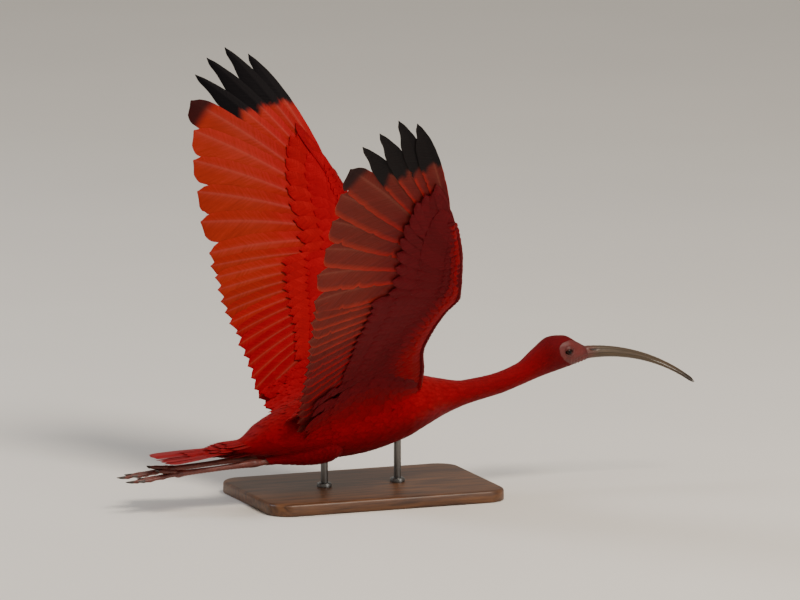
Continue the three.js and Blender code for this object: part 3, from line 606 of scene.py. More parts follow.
# Rings of feathers whose number follows the girth, every other ring set half a feather round. None grows
# on the bare face or where the wing joins the body, between the scapulars and the axillaries.
def growContour():
    rng = np.random.default_rng(contour["seed"])
    spacing, lengthFor, halfFor, rootShade = [
        smoothThrough(contour[key]) for key in ("spacing", "lengthFor", "halfFor", "rootShade")
    ]
    around = np.linspace(0, 2 * pi, 73)
    station, xs, turns = skinEnd + 4.0, [], []
    while station < billFace - 8:
        gap = float(spacing(station))
        count = int(bodySpeed(np.full(73, station), around).mean() * 2 * pi / gap)
        turns.append((np.arange(count) + 0.5 * (len(turns) % 2)) / count * 2 * pi)
        xs.append(np.full(count, station))
        station += gap * contour["rowGap"]
    x, turn = np.concatenate(xs), np.concatenate(turns)
    gap = spacing(x)
    x = x + rng.uniform(-0.16, 0.16, len(x)) * gap
    turn = turn + rng.uniform(-0.14, 0.14, len(x)) * gap / bodySpeed(x, turn)
    aside = np.abs((turn + pi / 2) % (2 * pi) - pi)
    front, back, low, high = contour["wingRoot"]
    hidden = (x < front) & (x > back) & (aside > low) & (aside < high)
    keep = (x < faceEdge(turn)) & ~hidden
    x, turn, gap = [np.r_[rows[keep], edge] for rows, edge in zip((x, turn, gap), fringeRoots(rng))]
    count = len(x)
    small = np.clip(gap / contour["fullSize"], 0.25, 1)
    length = lengthFor(x) * gap * vary(rng, 0.1, count) * (1 + contour["tailward"] * ease((-200 - x) / 60))
    spec = {
        "half": halfFor(x) * gap * vary(rng, 0.08, count),
        "root": np.stack([x, turn], -1),
        "heading": pi + rng.normal(0, 0.07, count),
        "stretch": 1 / bodySpeed(x, turn),
        "length": length,
        "base": -1.15 * small - 0.1,
        "rise": 1.3 * small,
        "cup": 0.4 * small,
        "blunt": 0.16 * length,
        "thick": 0.3 * small,
        "bake": np.stack([(x + 330) / 560, (turn % (2 * pi)) / (2.04 * pi)], -1),
    }
    vanes = growVanes(onBody, spec, [[0, 0.3], [0.3, 0.85], [0.6, 1], [0.85, 0.68], [1, 0.12]], [-1, 0, 1])
    tones = np.array([colours[name] for name in contour["tones"]])
    tone = np.stack([np.interp(x, contour["toneAt"], tones[:, k]) for k in range(3)], -1)
    # Painted shade: below the flanks, and back from the breast, the feathers take the darker belly colour.
    below = ease(-np.sin(turn) * 1.6) * ease((60 - x) / 80)
    tone = mix(tone, colours["belly"], below[:, None])
    return tintVanes(vanes, tone * rootShade(x)[:, None], tone, vary(rng, 0.1, count))


# The wing's plan in millimetres: a runs out along the span from the wrist, b runs back from it. The plan
# climbs at one angle over the arm and a steeper one over the hand.
wing = {
    "wristX": 12,
    "shoulderA": -171,
    "shoulderY": 38,
    "shoulderZ": 20,
    "innerA": -196,
    "handA": 100,
    "tipA": 276,
    "armRise": radians(51),
    "handRise": radians(60),
    "bendHalf": 40,
    "chord": 195,
    "arch": (15, 6),  # at the shoulder and at the tip
    "droop": 7,  # of the trailing edge
    "handTaper": 34,  # the hand's flesh thins out over this length, and its front draws back by the next
    "handDraw": 9,
}
leadingEdge = smoothThrough(
    [
        *([-196, 30], [-144, 29], [-107, 32], [-75, 25], [-40, 12], [-12, -2]),
        *([44, -3], [117, 8], [187, 27], [249, 50], [276, 66]),
    ]
)
trailingEdge = smoothThrough([[-196, 200], [-120, 194], [0, 188], [49, 184]])
fleshBack = smoothThrough([[-196, 128], [-144, 112], [-84, 96], [-40, 64], [0, 42], [40, 34], [100, 29]])
rootLine = smoothThrough(
    [[-196, 108], [-142, 92], [-94, 80], [-84, 74], [-40, 46], [-5, 22], [8, 11], [86, 12]]
)


def spanAngleAt(a):
    return mix(wing["armRise"], wing["handRise"], ease((a + wing["bendHalf"]) / (2 * wing["bendHalf"])))


# The plan's line in space: sideways and up, summed along the span at its angle and set to the shoulder.
spanStep = 2
spanA = np.arange(-240, 300, spanStep)
spanClimb = spanAngleAt(spanA[:-1] + spanStep / 2)
spanY = np.r_[0, np.cumsum(spanStep * np.cos(spanClimb))]
spanZ = np.r_[0, np.cumsum(spanStep * np.sin(spanClimb))]
spanY = spanY + wing["shoulderY"] - np.interp(wing["shoulderA"], spanA, spanY)
spanZ = spanZ + wing["shoulderZ"] - np.interp(wing["shoulderA"], spanA, spanZ)


# Camber: how far the wing's arch stands over its flat plan, an arch over the chord that sinks at the back.
def camber(a, b):
    outward = ease((a - wing["shoulderA"]) / (wing["tipA"] - wing["shoulderA"]))
    back = np.clip(b / wing["chord"], -0.05, 1.15)
    return mix(*wing["arch"], outward) * np.sin(pi * np.clip(back, 0, 1) ** 0.8) - wing["droop"] * back**2


# A place on the left wing: plan position and height over the arched surface.
def onWing(a, b, height):
    angle = spanAngleAt(a)
    off = camber(a, b) + height
    y = np.interp(a, spanA, spanY) - off * np.sin(angle)
    z = np.interp(a, spanA, spanZ) + off * np.cos(angle)
    return np.stack([wing["wristX"] - b, y, z], -1)


# Where a place in the plan lies on the wing's unwrapped square.
def onWingMap(plan):
    return (plan - [-240, -30]) / [560, 260]


# The flesh of arm and hand: half its depth above or below the surface, full near the front, none at the
# edges, as a half ellipse that leans forward. Its front draws back where the hand ends.
fleshTop = {"shoulder": 12, "wrist": 9, "hand": 5.6}
fleshUnder = {"shoulder": 10, "wrist": 8, "hand": 6}


def handEnding(a):
    return ease((a - wing["handA"]) / wing["handTaper"] + 1)


def fleshFront(a):
    return leadingEdge(a) + wing["handDraw"] * handEnding(a)


def fleshDepth(a, b, sizes):
    inner = mix(sizes["wrist"], sizes["shoulder"], ease(a / wing["shoulderA"]))
    outer = mix(sizes["wrist"], sizes["hand"], ease(a / wing["handA"]))
    front = fleshFront(a)
    share = np.clip((b - front) / (fleshBack(a) - front), 0, 1)
    depth = np.where(a < 0, inner, outer) * (1 - 0.45 * share) * (1 - 0.75 * handEnding(a))
    return depth * 2 * np.sqrt(share * (1 - share))


# Depth of a place between the leading edge, 0, and the line of the flight feathers' roots, 1.
def backShare(a, b):
    front = leadingEdge(a)
    return (b - front) / (rootLine(a) - front)


# The coverts' bed: the flesh, or a floor that stands clear of the flight feathers' roots, whichever is
# higher, blended over two millimetres.
def coverBed(a, b, sizes, floor):
    flesh = fleshDepth(a, b, sizes) - 0.7
    level = floor * ease(backShare(a, b) / 0.55)
    return (flesh + level + np.sqrt((flesh - level) ** 2 + 4)) / 2


def overWing(a, b, height):
    return onWing(a, b, coverBed(a, b, fleshTop, wingCoverts["floorTop"]) + height)


def underWing(a, b, height):
    return onWing(a, b, -coverBed(a, b, fleshUnder, wingCoverts["floorUnder"]) - height)


# The flight feathers. half is the width of the leading and of the trailing side, apart how far two of them
# lie from each other at the root and at the tip, and split how far out and how deep the barbs part.
flight = {
    "primary": {"half": (13, 27), "apart": (6, 36), "bend": 5, "split": (0.94, 0.26), "curl": 1},
    "finger": {"half": (8, 19), "apart": (6, 24), "bend": 6, "split": (0.62, 0.16), "curl": 1.6},
    "secondary": {"half": (9, 17), "apart": (7.5, 14.6), "bend": 4, "split": (0.94, 0.26), "curl": 1},
    "tertial": {"half": (10, 16), "apart": (9, 14), "bend": 3, "split": (0.94, 0.26), "curl": 1},
    "handRoots": ((8, 11), (86, 12)),
    "handTips": [
        *([49, 184], [87, 178], [123, 170], [160, 160], [196, 149]),
        *([228, 137], [256, 122], [271, 102], [278, 77], [266, 54]),
    ],
    "step": 1.1,  # how far each vane lies over the next one out, and the steepest tilt for it
    "steepest": 0.14,
    "rows": 60,
    "across": [-1, -0.72, -0.4, -0.12, 0, 0.12, 0.45, 0.8, 1],
    "splits": 3,  # at most, in each vane
    "blackFrom": 192,  # span position where the outer tips turn black
    "blackCount": 4,
    "darkTip": 0.87,  # share of the next feather's length from which its tip is dark too
    "paleTo": 18,  # feathers counted from the outermost: the ones past this are as red as the coverts
    "paleOver": 6,
    "shaft": [0.17, 0.06, 0.04],  # straight light that a shaft adds
}
# The feathers inside the hand: positions along the span and roots, from the first of a kind to its last.
innerRows = {
    "secondary": {"count": 12, "tipA": (33, -128), "roots": ((-5, 22), (-84, 74)), "shorter": 0},
    "tertial": {"count": 4, "tipA": (-141, -186), "roots": ((-94, 80), (-142, 92)), "shorter": 10},
}
broadVane = [
    *([0, 0.16, 0.12], [0.3, 0.78, 0.7], [0.66, 1, 1]),
    *([0.92, 0.84, 0.92], [0.975, 0.56, 0.66], [1, 0.14, 0.16]),
]
fingerVane = [
    *([0, 0.16, 0.12], [0.3, 0.8, 0.66], [0.62, 0.98, 0.92], [0.8, 0.88, 0.76]),
    *([0.91, 0.58, 0.38], [0.97, 0.34, 0.24], [1, 0.08, 0.07]),
]


# Kind, root and tip of every flight feather in the wing's plan, from the outermost primary inwards to the
# last tertial.
def flightLayout():
    rows = []
    tips = flight["handTips"]
    for i in range(len(tips) - 1, -1, -1):
        kind = "finger" if i >= len(tips) - flight["blackCount"] else "primary"
        root = mix(*np.array(flight["handRoots"], float), i / (len(tips) - 1))
        rows.append((kind, root, tips[i]))
    for kind, rule in innerRows.items():
        for share in np.linspace(0, 1, rule["count"]):
            a = mix(*rule["tipA"], share)
            root = mix(*np.array(rule["roots"], float), share)
            rows.append((kind, root, [a, float(trailingEdge(a)) - rule["shorter"] * share]))
    return rows


layout = flightLayout()
layoutRoots = np.array([row[1] for row in layout], float)
layoutTips = np.array([row[2] for row in layout], float)

# The headings of the flight feathers give the lie of all the wing's plumage, as an angle from straight
# back towards the tip, which turns half as far at the leading edge.
order = np.argsort(layoutRoots[:, 0])
reachOut = layoutTips - layoutRoots
lieAngle = smoothThrough(np.c_[layoutRoots[order, 0], np.arctan2(reachOut[order, 0], reachOut[order, 1])])


def headingAt(a, share):
    return pi / 2 - lieAngle(a) * (0.45 + 0.55 * np.clip(share, 0, 1))


# The flight feathers of one wing: vanes of many stations, with a raised shaft and barbs split here and
# there. Each fills a strip of its own in the unwrapped square.
def growFlight(seed):
    rng = np.random.default_rng(seed)
    u = np.linspace(0, 1, flight["rows"])
    t = u * (1.35 - 0.35 * u)
    shapes = []
    for kind in ("primary", "finger", "secondary", "tertial"):
        chosen = np.array([i for i, row in enumerate(layout) if row[0] == kind])
        sizes = flight[kind]
        count = len(chosen)
        root, tip = layoutRoots[chosen], layoutTips[chosen]
        tip = tip + (tip - root) * rng.uniform(-0.012, 0.012, (count, 1))
        run = tip - root
        tilt = np.minimum(flight["steepest"], flight["step"] / mix(*sizes["apart"], t))
        edge = 1 + 0.012 * np.sin(t[None, :, None] * rng.uniform(50, 70, (count, 1, 2)))
        furthest, deepest = sizes["split"]
        for _ in range(flight["splits"]):
            where = rng.uniform(0.35, furthest, (count, 1, 2))
            deep = rng.uniform(-deepest, deepest, (count, 1, 2)).clip(0)
            edge = edge - deep * bell(t[None, :, None], where, 0.009)
        spec = {
            "root": root,
            "heading": np.arctan2(run[:, 1], run[:, 0]),
            "length": np.linalg.norm(run, axis=1),
            "lead": sizes["half"][0] * vary(rng, 0.04, count),
            "trail": sizes["half"][1] * vary(rng, 0.04, count),
            "bend": sizes["bend"],
            "tilt": np.broadcast_to(tilt, (count, len(t))),
            "cup": 0.5,
            "shaft": 0.7,
            "curl": rng.uniform(-1.0, 0.6, count) * sizes["curl"],
            "blunt": 2.5,
            "thick": 0.55,
            "edge": edge,
            "bake": np.stack([chosen / len(layout), np.zeros(count)], -1),
        }
        outline = fineOutline(fingerVane if kind == "finger" else broadVane, t)
        patch = np.array([0.9 / len(layout), 0.999])
        vanes = growVanes(onWing, spec, outline, flight["across"], patch)
        shapes.append(tintFlight(vanes, chosen[:, None, None], root, run, rng))
    return merge(shapes)


# Colour of a flight vane: scarlet near the coverts, paler outwards and on the trailing side, darker on its
# under side as painted shade, with a pale shaft. The outer ones are black past one line across the wing,
# with a ragged border, and the next one has a dark tip.
def tintFlight(vanes, chosen, root, run, rng):
    t, r = vanes["t"], vanes["r"]
    count = len(chosen)
    bright = vary(rng, 0.09, count)[:, None, None, None]
    paler = ease((flight["paleTo"] - chosen) / flight["paleOver"])
    pale = (np.clip(ease((t - 0.25) / 0.5) * 0.8 + 0.25 * (r < 0), 0, 1) * paler)[..., None]
    top = mix(colours["wingTop"], mix(colours["flightTop"], colours["flightTrail"], pale), pale)
    dim = (ease((t - 0.2) / 0.5) * mix(0.25, 1, paler))[..., None]
    # Painted shade: the under side takes the darker wingUnder and flightUnder colours.
    below = mix(colours["wingUnder"], colours["flightUnder"], dim)
    colour = np.where(vanes["upper"][..., None] > 0, top, below) * bright
    colour = mix(colour, colour * 0.55 + np.array(flight["shaft"]), 0.4 * bell(r, 0, 0.1)[..., None])
    a = root[:, 0, None, None] + run[:, 0, None, None] * t
    ragged = 5 * ripple(r * 3 + np.arange(count)[:, None, None], t * 9)
    black = ease((a - flight["blackFrom"] + ragged + 6 * np.abs(r)) / 9) * (chosen < flight["blackCount"])
    nearTip = ease((t - flight["darkTip"]) / 0.06) * (chosen == flight["blackCount"]) * 0.9
    colour = mix(colour, colours["tips"], np.maximum(black, nearTip)[..., None])
    vanes["tint"] = np.clip(colour, 0, 1).reshape(-1, 3)
    return vanes


# The coverts. start, hand and arm are where a row begins and how far it reaches, as shares of the flight
# feathers under it, half the widths on its leading and trailing side, and heights those at root and tip.
wingCoverts = {
    "floorTop": 5.4,
    "floorUnder": 4.6,
    "greater": {"hand": 0.4, "arm": 0.53, "half": (9, 12.5), "heights": (3.6, 2.3), "start": -0.05},
    "median": {"hand": 0.26, "arm": 0.36, "half": (9.5, 12), "heights": (5.0, 3.6), "start": -0.06},
    "underGreater": {"hand": 0.42, "arm": 0.52, "half": (9.5, 12.5), "heights": (4.2, 3.0), "start": -0.05},
    "underMedian": {"hand": 0.25, "arm": 0.34, "half": (9.5, 12), "heights": (5.2, 4.2), "start": -0.06},
    "shares": [0.05, 0.1, 0.2, 0.31, 0.43, 0.56, 0.7, 0.85, 1.0],  # small rows from the leading edge back
    "spacing": 7.5,
    "smallLength": (11, 0.2),  # and for each millimetre of the flesh's width
    "smallHalf": (4.4, 5.7),  # at the leading edge and at the back
}
# Marginal coverts, the alula on the thumb, and the coverts along the outermost primary.
marginal = {
    "turns": [-82, -55, -27, 0, 27, 55, 82],  # degrees round the leading edge
    "span": (-180, 116),
    "spacing": 4.2,
    "half": 2.7,
    "length": 11.5,
}
alula = {"count": 4, "length": 34, "longer": 6.0, "heading": radians(32), "half": (3.4, 7)}
outermost = {"count": 2, "length": 92, "shorter": 26.0, "half": (5.2, 9)}
softVane = [
    *([0, 0.3, 0.3], [0.2, 0.7, 0.7], [0.45, 0.98, 0.95], [0.7, 1, 1]),
    *([0.86, 0.82, 0.86], [0.95, 0.52, 0.58], [1, 0.14, 0.16]),
]


# Greater and median coverts over or under the flight feathers: one between each two.
def growRow(rng, name, side, tone):
    rule = wingCoverts[name]
    low, high = rule["heights"]
    root, tip = [(line[:-1] + line[1:]) / 2 for line in (layoutRoots, layoutTips)]
    count = len(root)
    hand = np.array([row[0] in ("primary", "finger") for row in layout[:-1]])
    reach = np.where(hand, rule["hand"], rule["arm"]) * vary(rng, 0.03, count)
    run = tip - root
    begin = root + run * rule["start"]
    spec = {
        "root": begin,
        "heading": np.arctan2(run[:, 1], run[:, 0]),
        "length": np.linalg.norm(run, axis=1) * (reach - rule["start"]),
        "lead": rule["half"][0] * vary(rng, 0.06, count),
        "trail": rule["half"][1] * vary(rng, 0.06, count),
        "base": low * side,
        "rise": (high - low) * side,
        "tilt": 0.075,
        "cup": 0.7 * side,
        "shaft": 0.3 * side,
        "thick": 0.4,
        "blunt": 2,
        "bake": onWingMap(begin),
    }
    vanes = growVanes(onWing, spec, softVane, [-1, -0.6, -0.2, 0, 0.25, 0.65, 1])
    return tintVanes(vanes, colours[tone[0]], colours[tone[1]], vary(rng, 0.08, count))


# Rows of small coverts from the leading edge back to the flight feathers' roots, each row a little over
# the next and set half a feather along. They grow longer where the flesh is wide, and fewer rows run on
# where it is narrow.
def growSmallCoverts(rng, place, side, tone):
    roots, shares = [], []
    for k, share in enumerate(wingCoverts["shares"]):
        a = np.arange(wing["innerA"] + 6 + 3.7 * (k % 2), 96, wingCoverts["spacing"])
        a = a + rng.uniform(-1.1, 1.1, len(a))
        a = a[(rootLine(a) - leadingEdge(a) > 26) | (k % 3 == 0)]
        front, back = leadingEdge(a), rootLine(a)
        roots.append(np.stack([a, front + (back - front) * share + rng.uniform(-0.8, 0.8, len(a))], -1))
        shares.append(np.full(len(a), share))
    root, share = np.concatenate(roots), np.concatenate(shares)
    wide = np.clip(rootLine(root[:, 0]) - leadingEdge(root[:, 0]), 10, 70)
    count = len(root)
    shortest, growth = wingCoverts["smallLength"]
    length = (shortest + growth * wide) * (0.85 + 0.45 * share) * vary(rng, 0.08, count)
    half = mix(*wingCoverts["smallHalf"], share) * vary(rng, 0.08, count)
    spec = {
        "root": root,
        "heading": headingAt(root[:, 0], share) + rng.normal(0, 0.06, count),
        "length": length,
        "lead": half,
        "trail": half * 1.1,
        "base": -0.7,
        "rise": 1.5,
        "tilt": 0.05 * side,
        "cup": 0.45,
        "thick": 0.32,
        "blunt": 1.5,
        "bake": onWingMap(root),
    }
    outline = [[0, 0.35, 0.35], [0.3, 0.9, 0.88], [0.62, 1, 1], [0.86, 0.74, 0.78], [1, 0.2, 0.22]]
    vanes = growVanes(place, spec, outline, [-1, 0, 1])
    edge, back = [colours[name] for name in tone]
    colour = mix(edge, back, ease(share[:, None] * 1.6))
    # Painted shade: each covert is darker at its root, where the one over it covers it.
    return tintVanes(vanes, colour * 0.85, colour, vary(rng, 0.09, count))


# A place round the wing's leading edge: out along it, round it from foremost, 0, up or down, and outwards.
# Towards the hand's end it grows thin and draws back.
def onEdge(a, turn, height):
    thin = 1 - 0.7 * ease((a - wing["handA"] + 40) / 55)
    deep = np.where(turn > 0, 5.2, 4.6) * thin + height
    b = leadingEdge(a) + 3.4 - (3.4 + height) * np.cos(turn) + 3 * ease((a - wing["handA"] + 10) / 25)
    return onWing(a, b, deep * np.sin(turn))


# Marginal coverts: small feathers that lie along the leading edge and fold round it to both faces.
def growEdge(rng):
    rows, spacing = np.radians(marginal["turns"]), marginal["spacing"]
    a, turn = crossed(np.arange(*marginal["span"], spacing), rows)
    a = (a + spacing / 2 * (np.arange(len(rows)) % 2)).ravel()
    turn = turn.ravel() + rng.uniform(-0.06, 0.06, a.size)
    a = a + rng.uniform(-0.6, 0.6, a.size)
    count = len(a)
    handEnd = ease((a - 95) / 15)
    spec = {
        "half": marginal["half"] * vary(rng, 0.08, count),
        "root": np.stack([a, turn], -1),
        "heading": turn * 0.32 + rng.normal(0, 0.05, count),
        "stretch": 1 / 4.6,
        "length": marginal["length"] * vary(rng, 0.1, count),
        "base": -0.7 - 0.5 * handEnd,
        "rise": 1.1 - 0.6 * handEnd,
        "cup": 0.3,
        "thick": 0.28,
        "blunt": 1.4,
        "bake": np.stack([(a + 240) / 560, 0.02 + 0.03 * (turn + 1.6)], -1),
    }
    vanes = growVanes(onEdge, spec, [[0, 0.35], [0.3, 0.9], [0.6, 1], [0.85, 0.7], [1, 0.16]], [-1, 0, 1])
    # Painted shade: the coverts darken round to the leading edge's under side, and each is darker at its
    # root.
    shade = mix(colours["wingUnder"], colours["wingEdge"], ease((turn[:, None] + 1.2) / 1.2))
    shade = mix(colours["back"], shade, ease((a[:, None] + 178) / 30))
    return tintVanes(vanes, shade * 0.85, shade, vary(rng, 0.09, count))


# The alula: stiff feathers on the thumb, at the wrist's leading edge, each longer than the one under it.
def growAlula(rng):
    step = np.arange(alula["count"])
    spec = {
        "root": np.stack([2 + 3.5 * step, 1.5 - 0.6 * step], -1),
        "heading": alula["heading"] - 0.05 * step,
        "length": alula["length"] + alula["longer"] * step,
        "lead": alula["half"][0],
        "trail": alula["half"][1],
        "base": -1.2 - 0.3 * step,
        "rise": 2.9,
        "tilt": 0.08,
        "cup": 0.4,
        "shaft": 0.3,
        "thick": 0.4,
        "blunt": 1,
        "bake": np.stack([0.43 + 0.01 * step, 0.1 + 0 * step], -1),
    }
    vanes = growVanes(overWing, spec, softVane, [-1, -0.4, 0, 0.4, 1])
    return tintVanes(vanes, colours["wingEdge"], colours["wingTop"], vary(rng, 0.06, len(step)))


# Narrow coverts along the outermost primary, over or under it, whose leading sides come down to it.
def growOuter(rng, side, tone):
    step = np.arange(outermost["count"])
    root, run = layoutRoots[0], reachOut[0]
    spec = {
        "root": np.stack([root[0] - 8 - 6.0 * step, root[1] - 3 - 1.0 * step], -1),
        "heading": np.arctan2(run[1], run[0]) - 0.03 * step,
        "length": outermost["length"] - outermost["shorter"] * step,
        "lead": outermost["half"][0],
        "trail": outermost["half"][1],
        "bend": 2.5,
        "base": side * (3.4 + 0.9 * step),
        "rise": -side * (1.9 + 0.5 * step),
        "tilt": -0.3 * side,
        "cup": 0.5 * side,
        "thick": 0.35,
        "blunt": 1.5,
        "bake": np.stack([0.55 + 0.01 * step, 0.15 + 0 * step], -1),
    }
    vanes = growVanes(onWing, spec, softVane, [-1, -0.5, 0, 0.4, 1])
    return tintVanes(vanes, colours[tone], colours[tone], vary(rng, 0.05, len(step)))


def growWingCoverts(seed):
    rng = np.random.default_rng(seed)
    top = [
        growRow(rng, "greater", 1, ("wingTop", "greaterTop")),
        growRow(rng, "median", 1, ("wingTop", "wingTop")),
        growSmallCoverts(rng, overWing, 1, ("wingEdge", "wingTop")),
        growAlula(rng),
        growEdge(rng),
        growOuter(rng, 1, "wingEdge"),
    ]
    # Painted shade: the under coverts take the darker wingUnder colour of the wing's under side.
    under = [
        growRow(rng, "underGreater", -1, ("wingUnder", "wingUnder")),
        growRow(rng, "underMedian", -1, ("wingUnder", "wingUnder")),
        growSmallCoverts(rng, underWing, -1, ("wingEdge", "wingUnder")),
        growOuter(rng, -1, "wingUnder"),
    ]
    return merge(top), merge(under)


# Where the wing's surface comes out of the body: the first plan position out from the shoulder, at each
# distance back, that lies outside the body's ring.
def junction(place):
    b = np.linspace(20, 190, 35)
    a = np.arange(-200, -60, 1.0)
    outward, backward = crossed(a, b)
    x, y, z = np.moveaxis(place(outward, backward, 0 * outward), -1, 0)
    top, bottom = bodyTop(x), bodyBottom(x)
    outside = (y / bodyHalf(x)) ** 2 + ((z - (top + bottom) / 2) / ((top - bottom) / 2)) ** 2 > 1
    return smoothThrough(np.c_[b, a[np.argmax(outside, axis=0)]])


# Feathers that bridge the angle between body and wing: scapulars over it and axillaries under it. turn is
# where they start round the body, out how far along the wing they end, and from and to are values of x.
bridge = {
    "scapular": {"turn": radians(80), "out": 36, "from": -2, "to": -168, "length": 40},
    "axillary": {"turn": radians(-8), "out": 44, "from": -27, "to": -150, "length": 44},
    "half": 8.5,
    "swell": 2.5,  # how far the sheet stands off the corner
    "rows": 7,
    "spacing": 8,
    "foremost": 32,  # no further forward than the wing's leading edge, rounded over 6 millimetres
    "rounding": 6,
    "narrow": 0.62,  # how far the front of the sheet draws in to the corner, over its first 55 millimetres
    "narrowOver": 55,
    "pastEdge": 1.1,  # radians round the body for each share of the sheet that a feather reaches inside it
}


# A bridging sheet: at each x, a curve from the body to the wing with three control points, the middle one
# where the two meet, and the outer two drawn in to it towards the front. Inside its edge the sheet goes on
# round the body. Each feather's height is measured square to the sheet.
def growBridge(name, place, side, seed, tone):
    rng = np.random.default_rng(seed)
    rule = bridge[name]
    out = junction(place)

    def sheet(x, share):
        past = (wing["wristX"] - x - bridge["foremost"]) / bridge["rounding"]
        b = bridge["foremost"] + bridge["rounding"] * np.logaddexp(0, past)
        start = onBody(x, rule["turn"] - side * bridge["pastEdge"] * np.minimum(share, 0), 0.3)
        meet = place(out(b), b, bridge["swell"] + 0 * x)
        end = place(out(b) + rule["out"], b, 0.4 + 0 * x)
        w = np.maximum(share, 0)[..., None]
        drawnIn = bridge["narrow"] * ease((x - rule["from"]) / bridge["narrowOver"] + 1)[..., None]
        start, end = mix(start, meet, drawnIn), mix(end, meet, drawnIn)
        return start * (1 - w) ** 2 + meet * 2 * w * (1 - w) + end * w**2

    def onSheet(x, share, height):
        step = 0.02
        alongX = sheet(x + 1, share) - sheet(x - 1, share)
        alongShare = sheet(x, share + step) - sheet(x, share - step)
        return sheet(x, share) + unit(np.cross(alongX, alongShare)) * side * height[..., None]

    xs = np.arange(rule["from"], rule["to"], -bridge["spacing"])
    x, share = crossed(xs, np.linspace(0.02, 0.98, bridge["rows"]))
    x = (x + 4.5 * (np.arange(bridge["rows"]) % 2)).ravel() + rng.uniform(-1.2, 1.2, x.size)
    share = share.ravel() + rng.uniform(-0.03, 0.03, x.size)
    across = np.linalg.norm(sheet(x, share + 0.02) - sheet(x, share - 0.02), axis=-1) / 0.04
    count = len(x)
    ends = np.clip((x - rule["to"]) / 60, 0.6, 1) * np.clip((rule["from"] + 20 - x) / 50, 0.5, 1)
    swell = np.sin(pi * share)
    length = rule["length"] * ends * (0.72 + 0.4 * swell) * vary(rng, 0.08, count)
    spec = {
        "half": bridge["half"] * np.sqrt(ends) * (0.75 + 0.3 * swell) * vary(rng, 0.06, count),
        "root": np.stack([x, share], -1),
        "heading": pi - side * radians(10) * share + rng.normal(0, 0.06, count),
        "stretch": 1 / np.maximum(across, 18),
        "length": length,
        "base": -0.9 - 1.1 * (1 - np.sin(pi * np.clip(share, 0, 1))) ** 2,
        "rise": 1.7,
        "cup": 0.8,
        "shaft": 0.2,
        "thick": 0.4,
        "blunt": 3,
        "bake": np.stack([(x + 330) / 560, 0.02 + 0.94 * np.clip(share, 0, 1)], -1),
    }
    outline = [[0, 0.3], [0.25, 0.8], [0.55, 1], [0.78, 0.86], [0.93, 0.5], [1, 0.14]]
    vanes = growVanes(onSheet, spec, outline, [-1, -0.5, 0, 0.5, 1])
    onBird, onLimb = [colours[name] for name in tone]
    colour = mix(onBird, onLimb, ease(share[:, None]))
    # Painted shade: each feather is darker at its root, where the one over it covers it.
    return tintVanes(vanes, colour * 0.85, colour, vary(rng, 0.08, count))


# The tail: twelve feathers in a shallow fan, with coverts over and under its root.
tail = {
    "rootX": -244,
    "rootZ": 5.5,
    "slope": radians(9),
    "slopeFrom": -238,
    "pairs": 6,
    "length": 96,
    "fan": radians(14),
    "arch": 4,  # how far the fan sinks at this distance from its middle
    "archHalf": 45,
    "half": 8.5,
    "rows": 36,
    "apart": (2.2, 7.6),  # between two feathers at the root and at the tip
    "seed": 5,
    "coverts": [[38, 7, 1.2], [30, 7, 3.2], [21, 8, 5.2], [12, 8, 7]],  # reach, feathers, height
    "covertLength": 34,
}


# A place on the tail: sideways, back from its root, and height over the arched fan.
def onTail(y, back, height):
    x = tail["rootX"] - back
    rise = (tail["slopeFrom"] - x) * tan(tail["slope"])
    z = tail["rootZ"] + rise + height - tail["arch"] * (y / tail["archHalf"]) ** 2
    return np.stack([x, y, z], -1)


# The feathers of each side, turned further out from the middle one by one, each tilted over the next.
def growTail():
    rng = np.random.default_rng(tail["seed"])
    pairs, rows = tail["pairs"], tail["rows"]
    k = np.arange(pairs)
    angle = tail["fan"] * (k + 0.5) / pairs
    reach = tail["length"] * (1 - 0.05 * (k / pairs) ** 2)
    t = np.linspace(0, 1, rows)
    t = t * (1.3 - 0.3 * t)
    outline = [
        *([0, 0.16, 0.12], [0.3, 0.78, 0.7], [0.66, 1, 1]),
        *([0.92, 0.86, 0.88], [0.975, 0.6, 0.64], [1, 0.16, 0.16]),
    ]
    tilt = np.minimum(flight["steepest"], flight["step"] / mix(*tail["apart"], t))
    shapes = []
    for side in (1, -1):
        run = np.stack([1.15 * reach * np.sin(angle), reach * np.cos(angle)], -1)
        run = run * vary(rng, 0.015, (pairs, 1))
        spec = {
            "root": np.stack([1 + 1.9 * k, np.full(pairs, 2)], -1),
            "heading": np.arctan2(run[:, 1], run[:, 0]),
            "length": np.linalg.norm(run, axis=1),
            "lead": tail["half"] * vary(rng, 0.04, pairs),
            "trail": tail["half"],
            "bend": 1,
            "base": np.where((k == 0) & (side > 0), 1.2, 0),
            "tilt": np.broadcast_to(tilt, (pairs, rows)),
            "cup": 0.4,
            "shaft": 0.5,
            "thick": 0.5,
            "blunt": 2.5,
            "curl": rng.uniform(-0.8, 0.4, pairs),
            "bake": np.stack([(k + pairs * (side < 0)) / (2 * pairs), np.zeros(pairs)], -1),
        }
        across, patch = [-1, -0.6, -0.12, 0, 0.12, 0.6, 1], np.array([0.07, 0.999])
        vanes = growVanes(onTail, spec, fineOutline(outline, t), across, patch)
        # Painted shade: each tail feather is darker at its root, under the coverts.
        vanes = tintVanes(vanes, colours["tailTop"] * 0.85, colours["tailTop"], vary(rng, 0.08, pairs))
        shapes.append(vanes if side > 0 else mirrored(vanes))
    return merge(shapes)


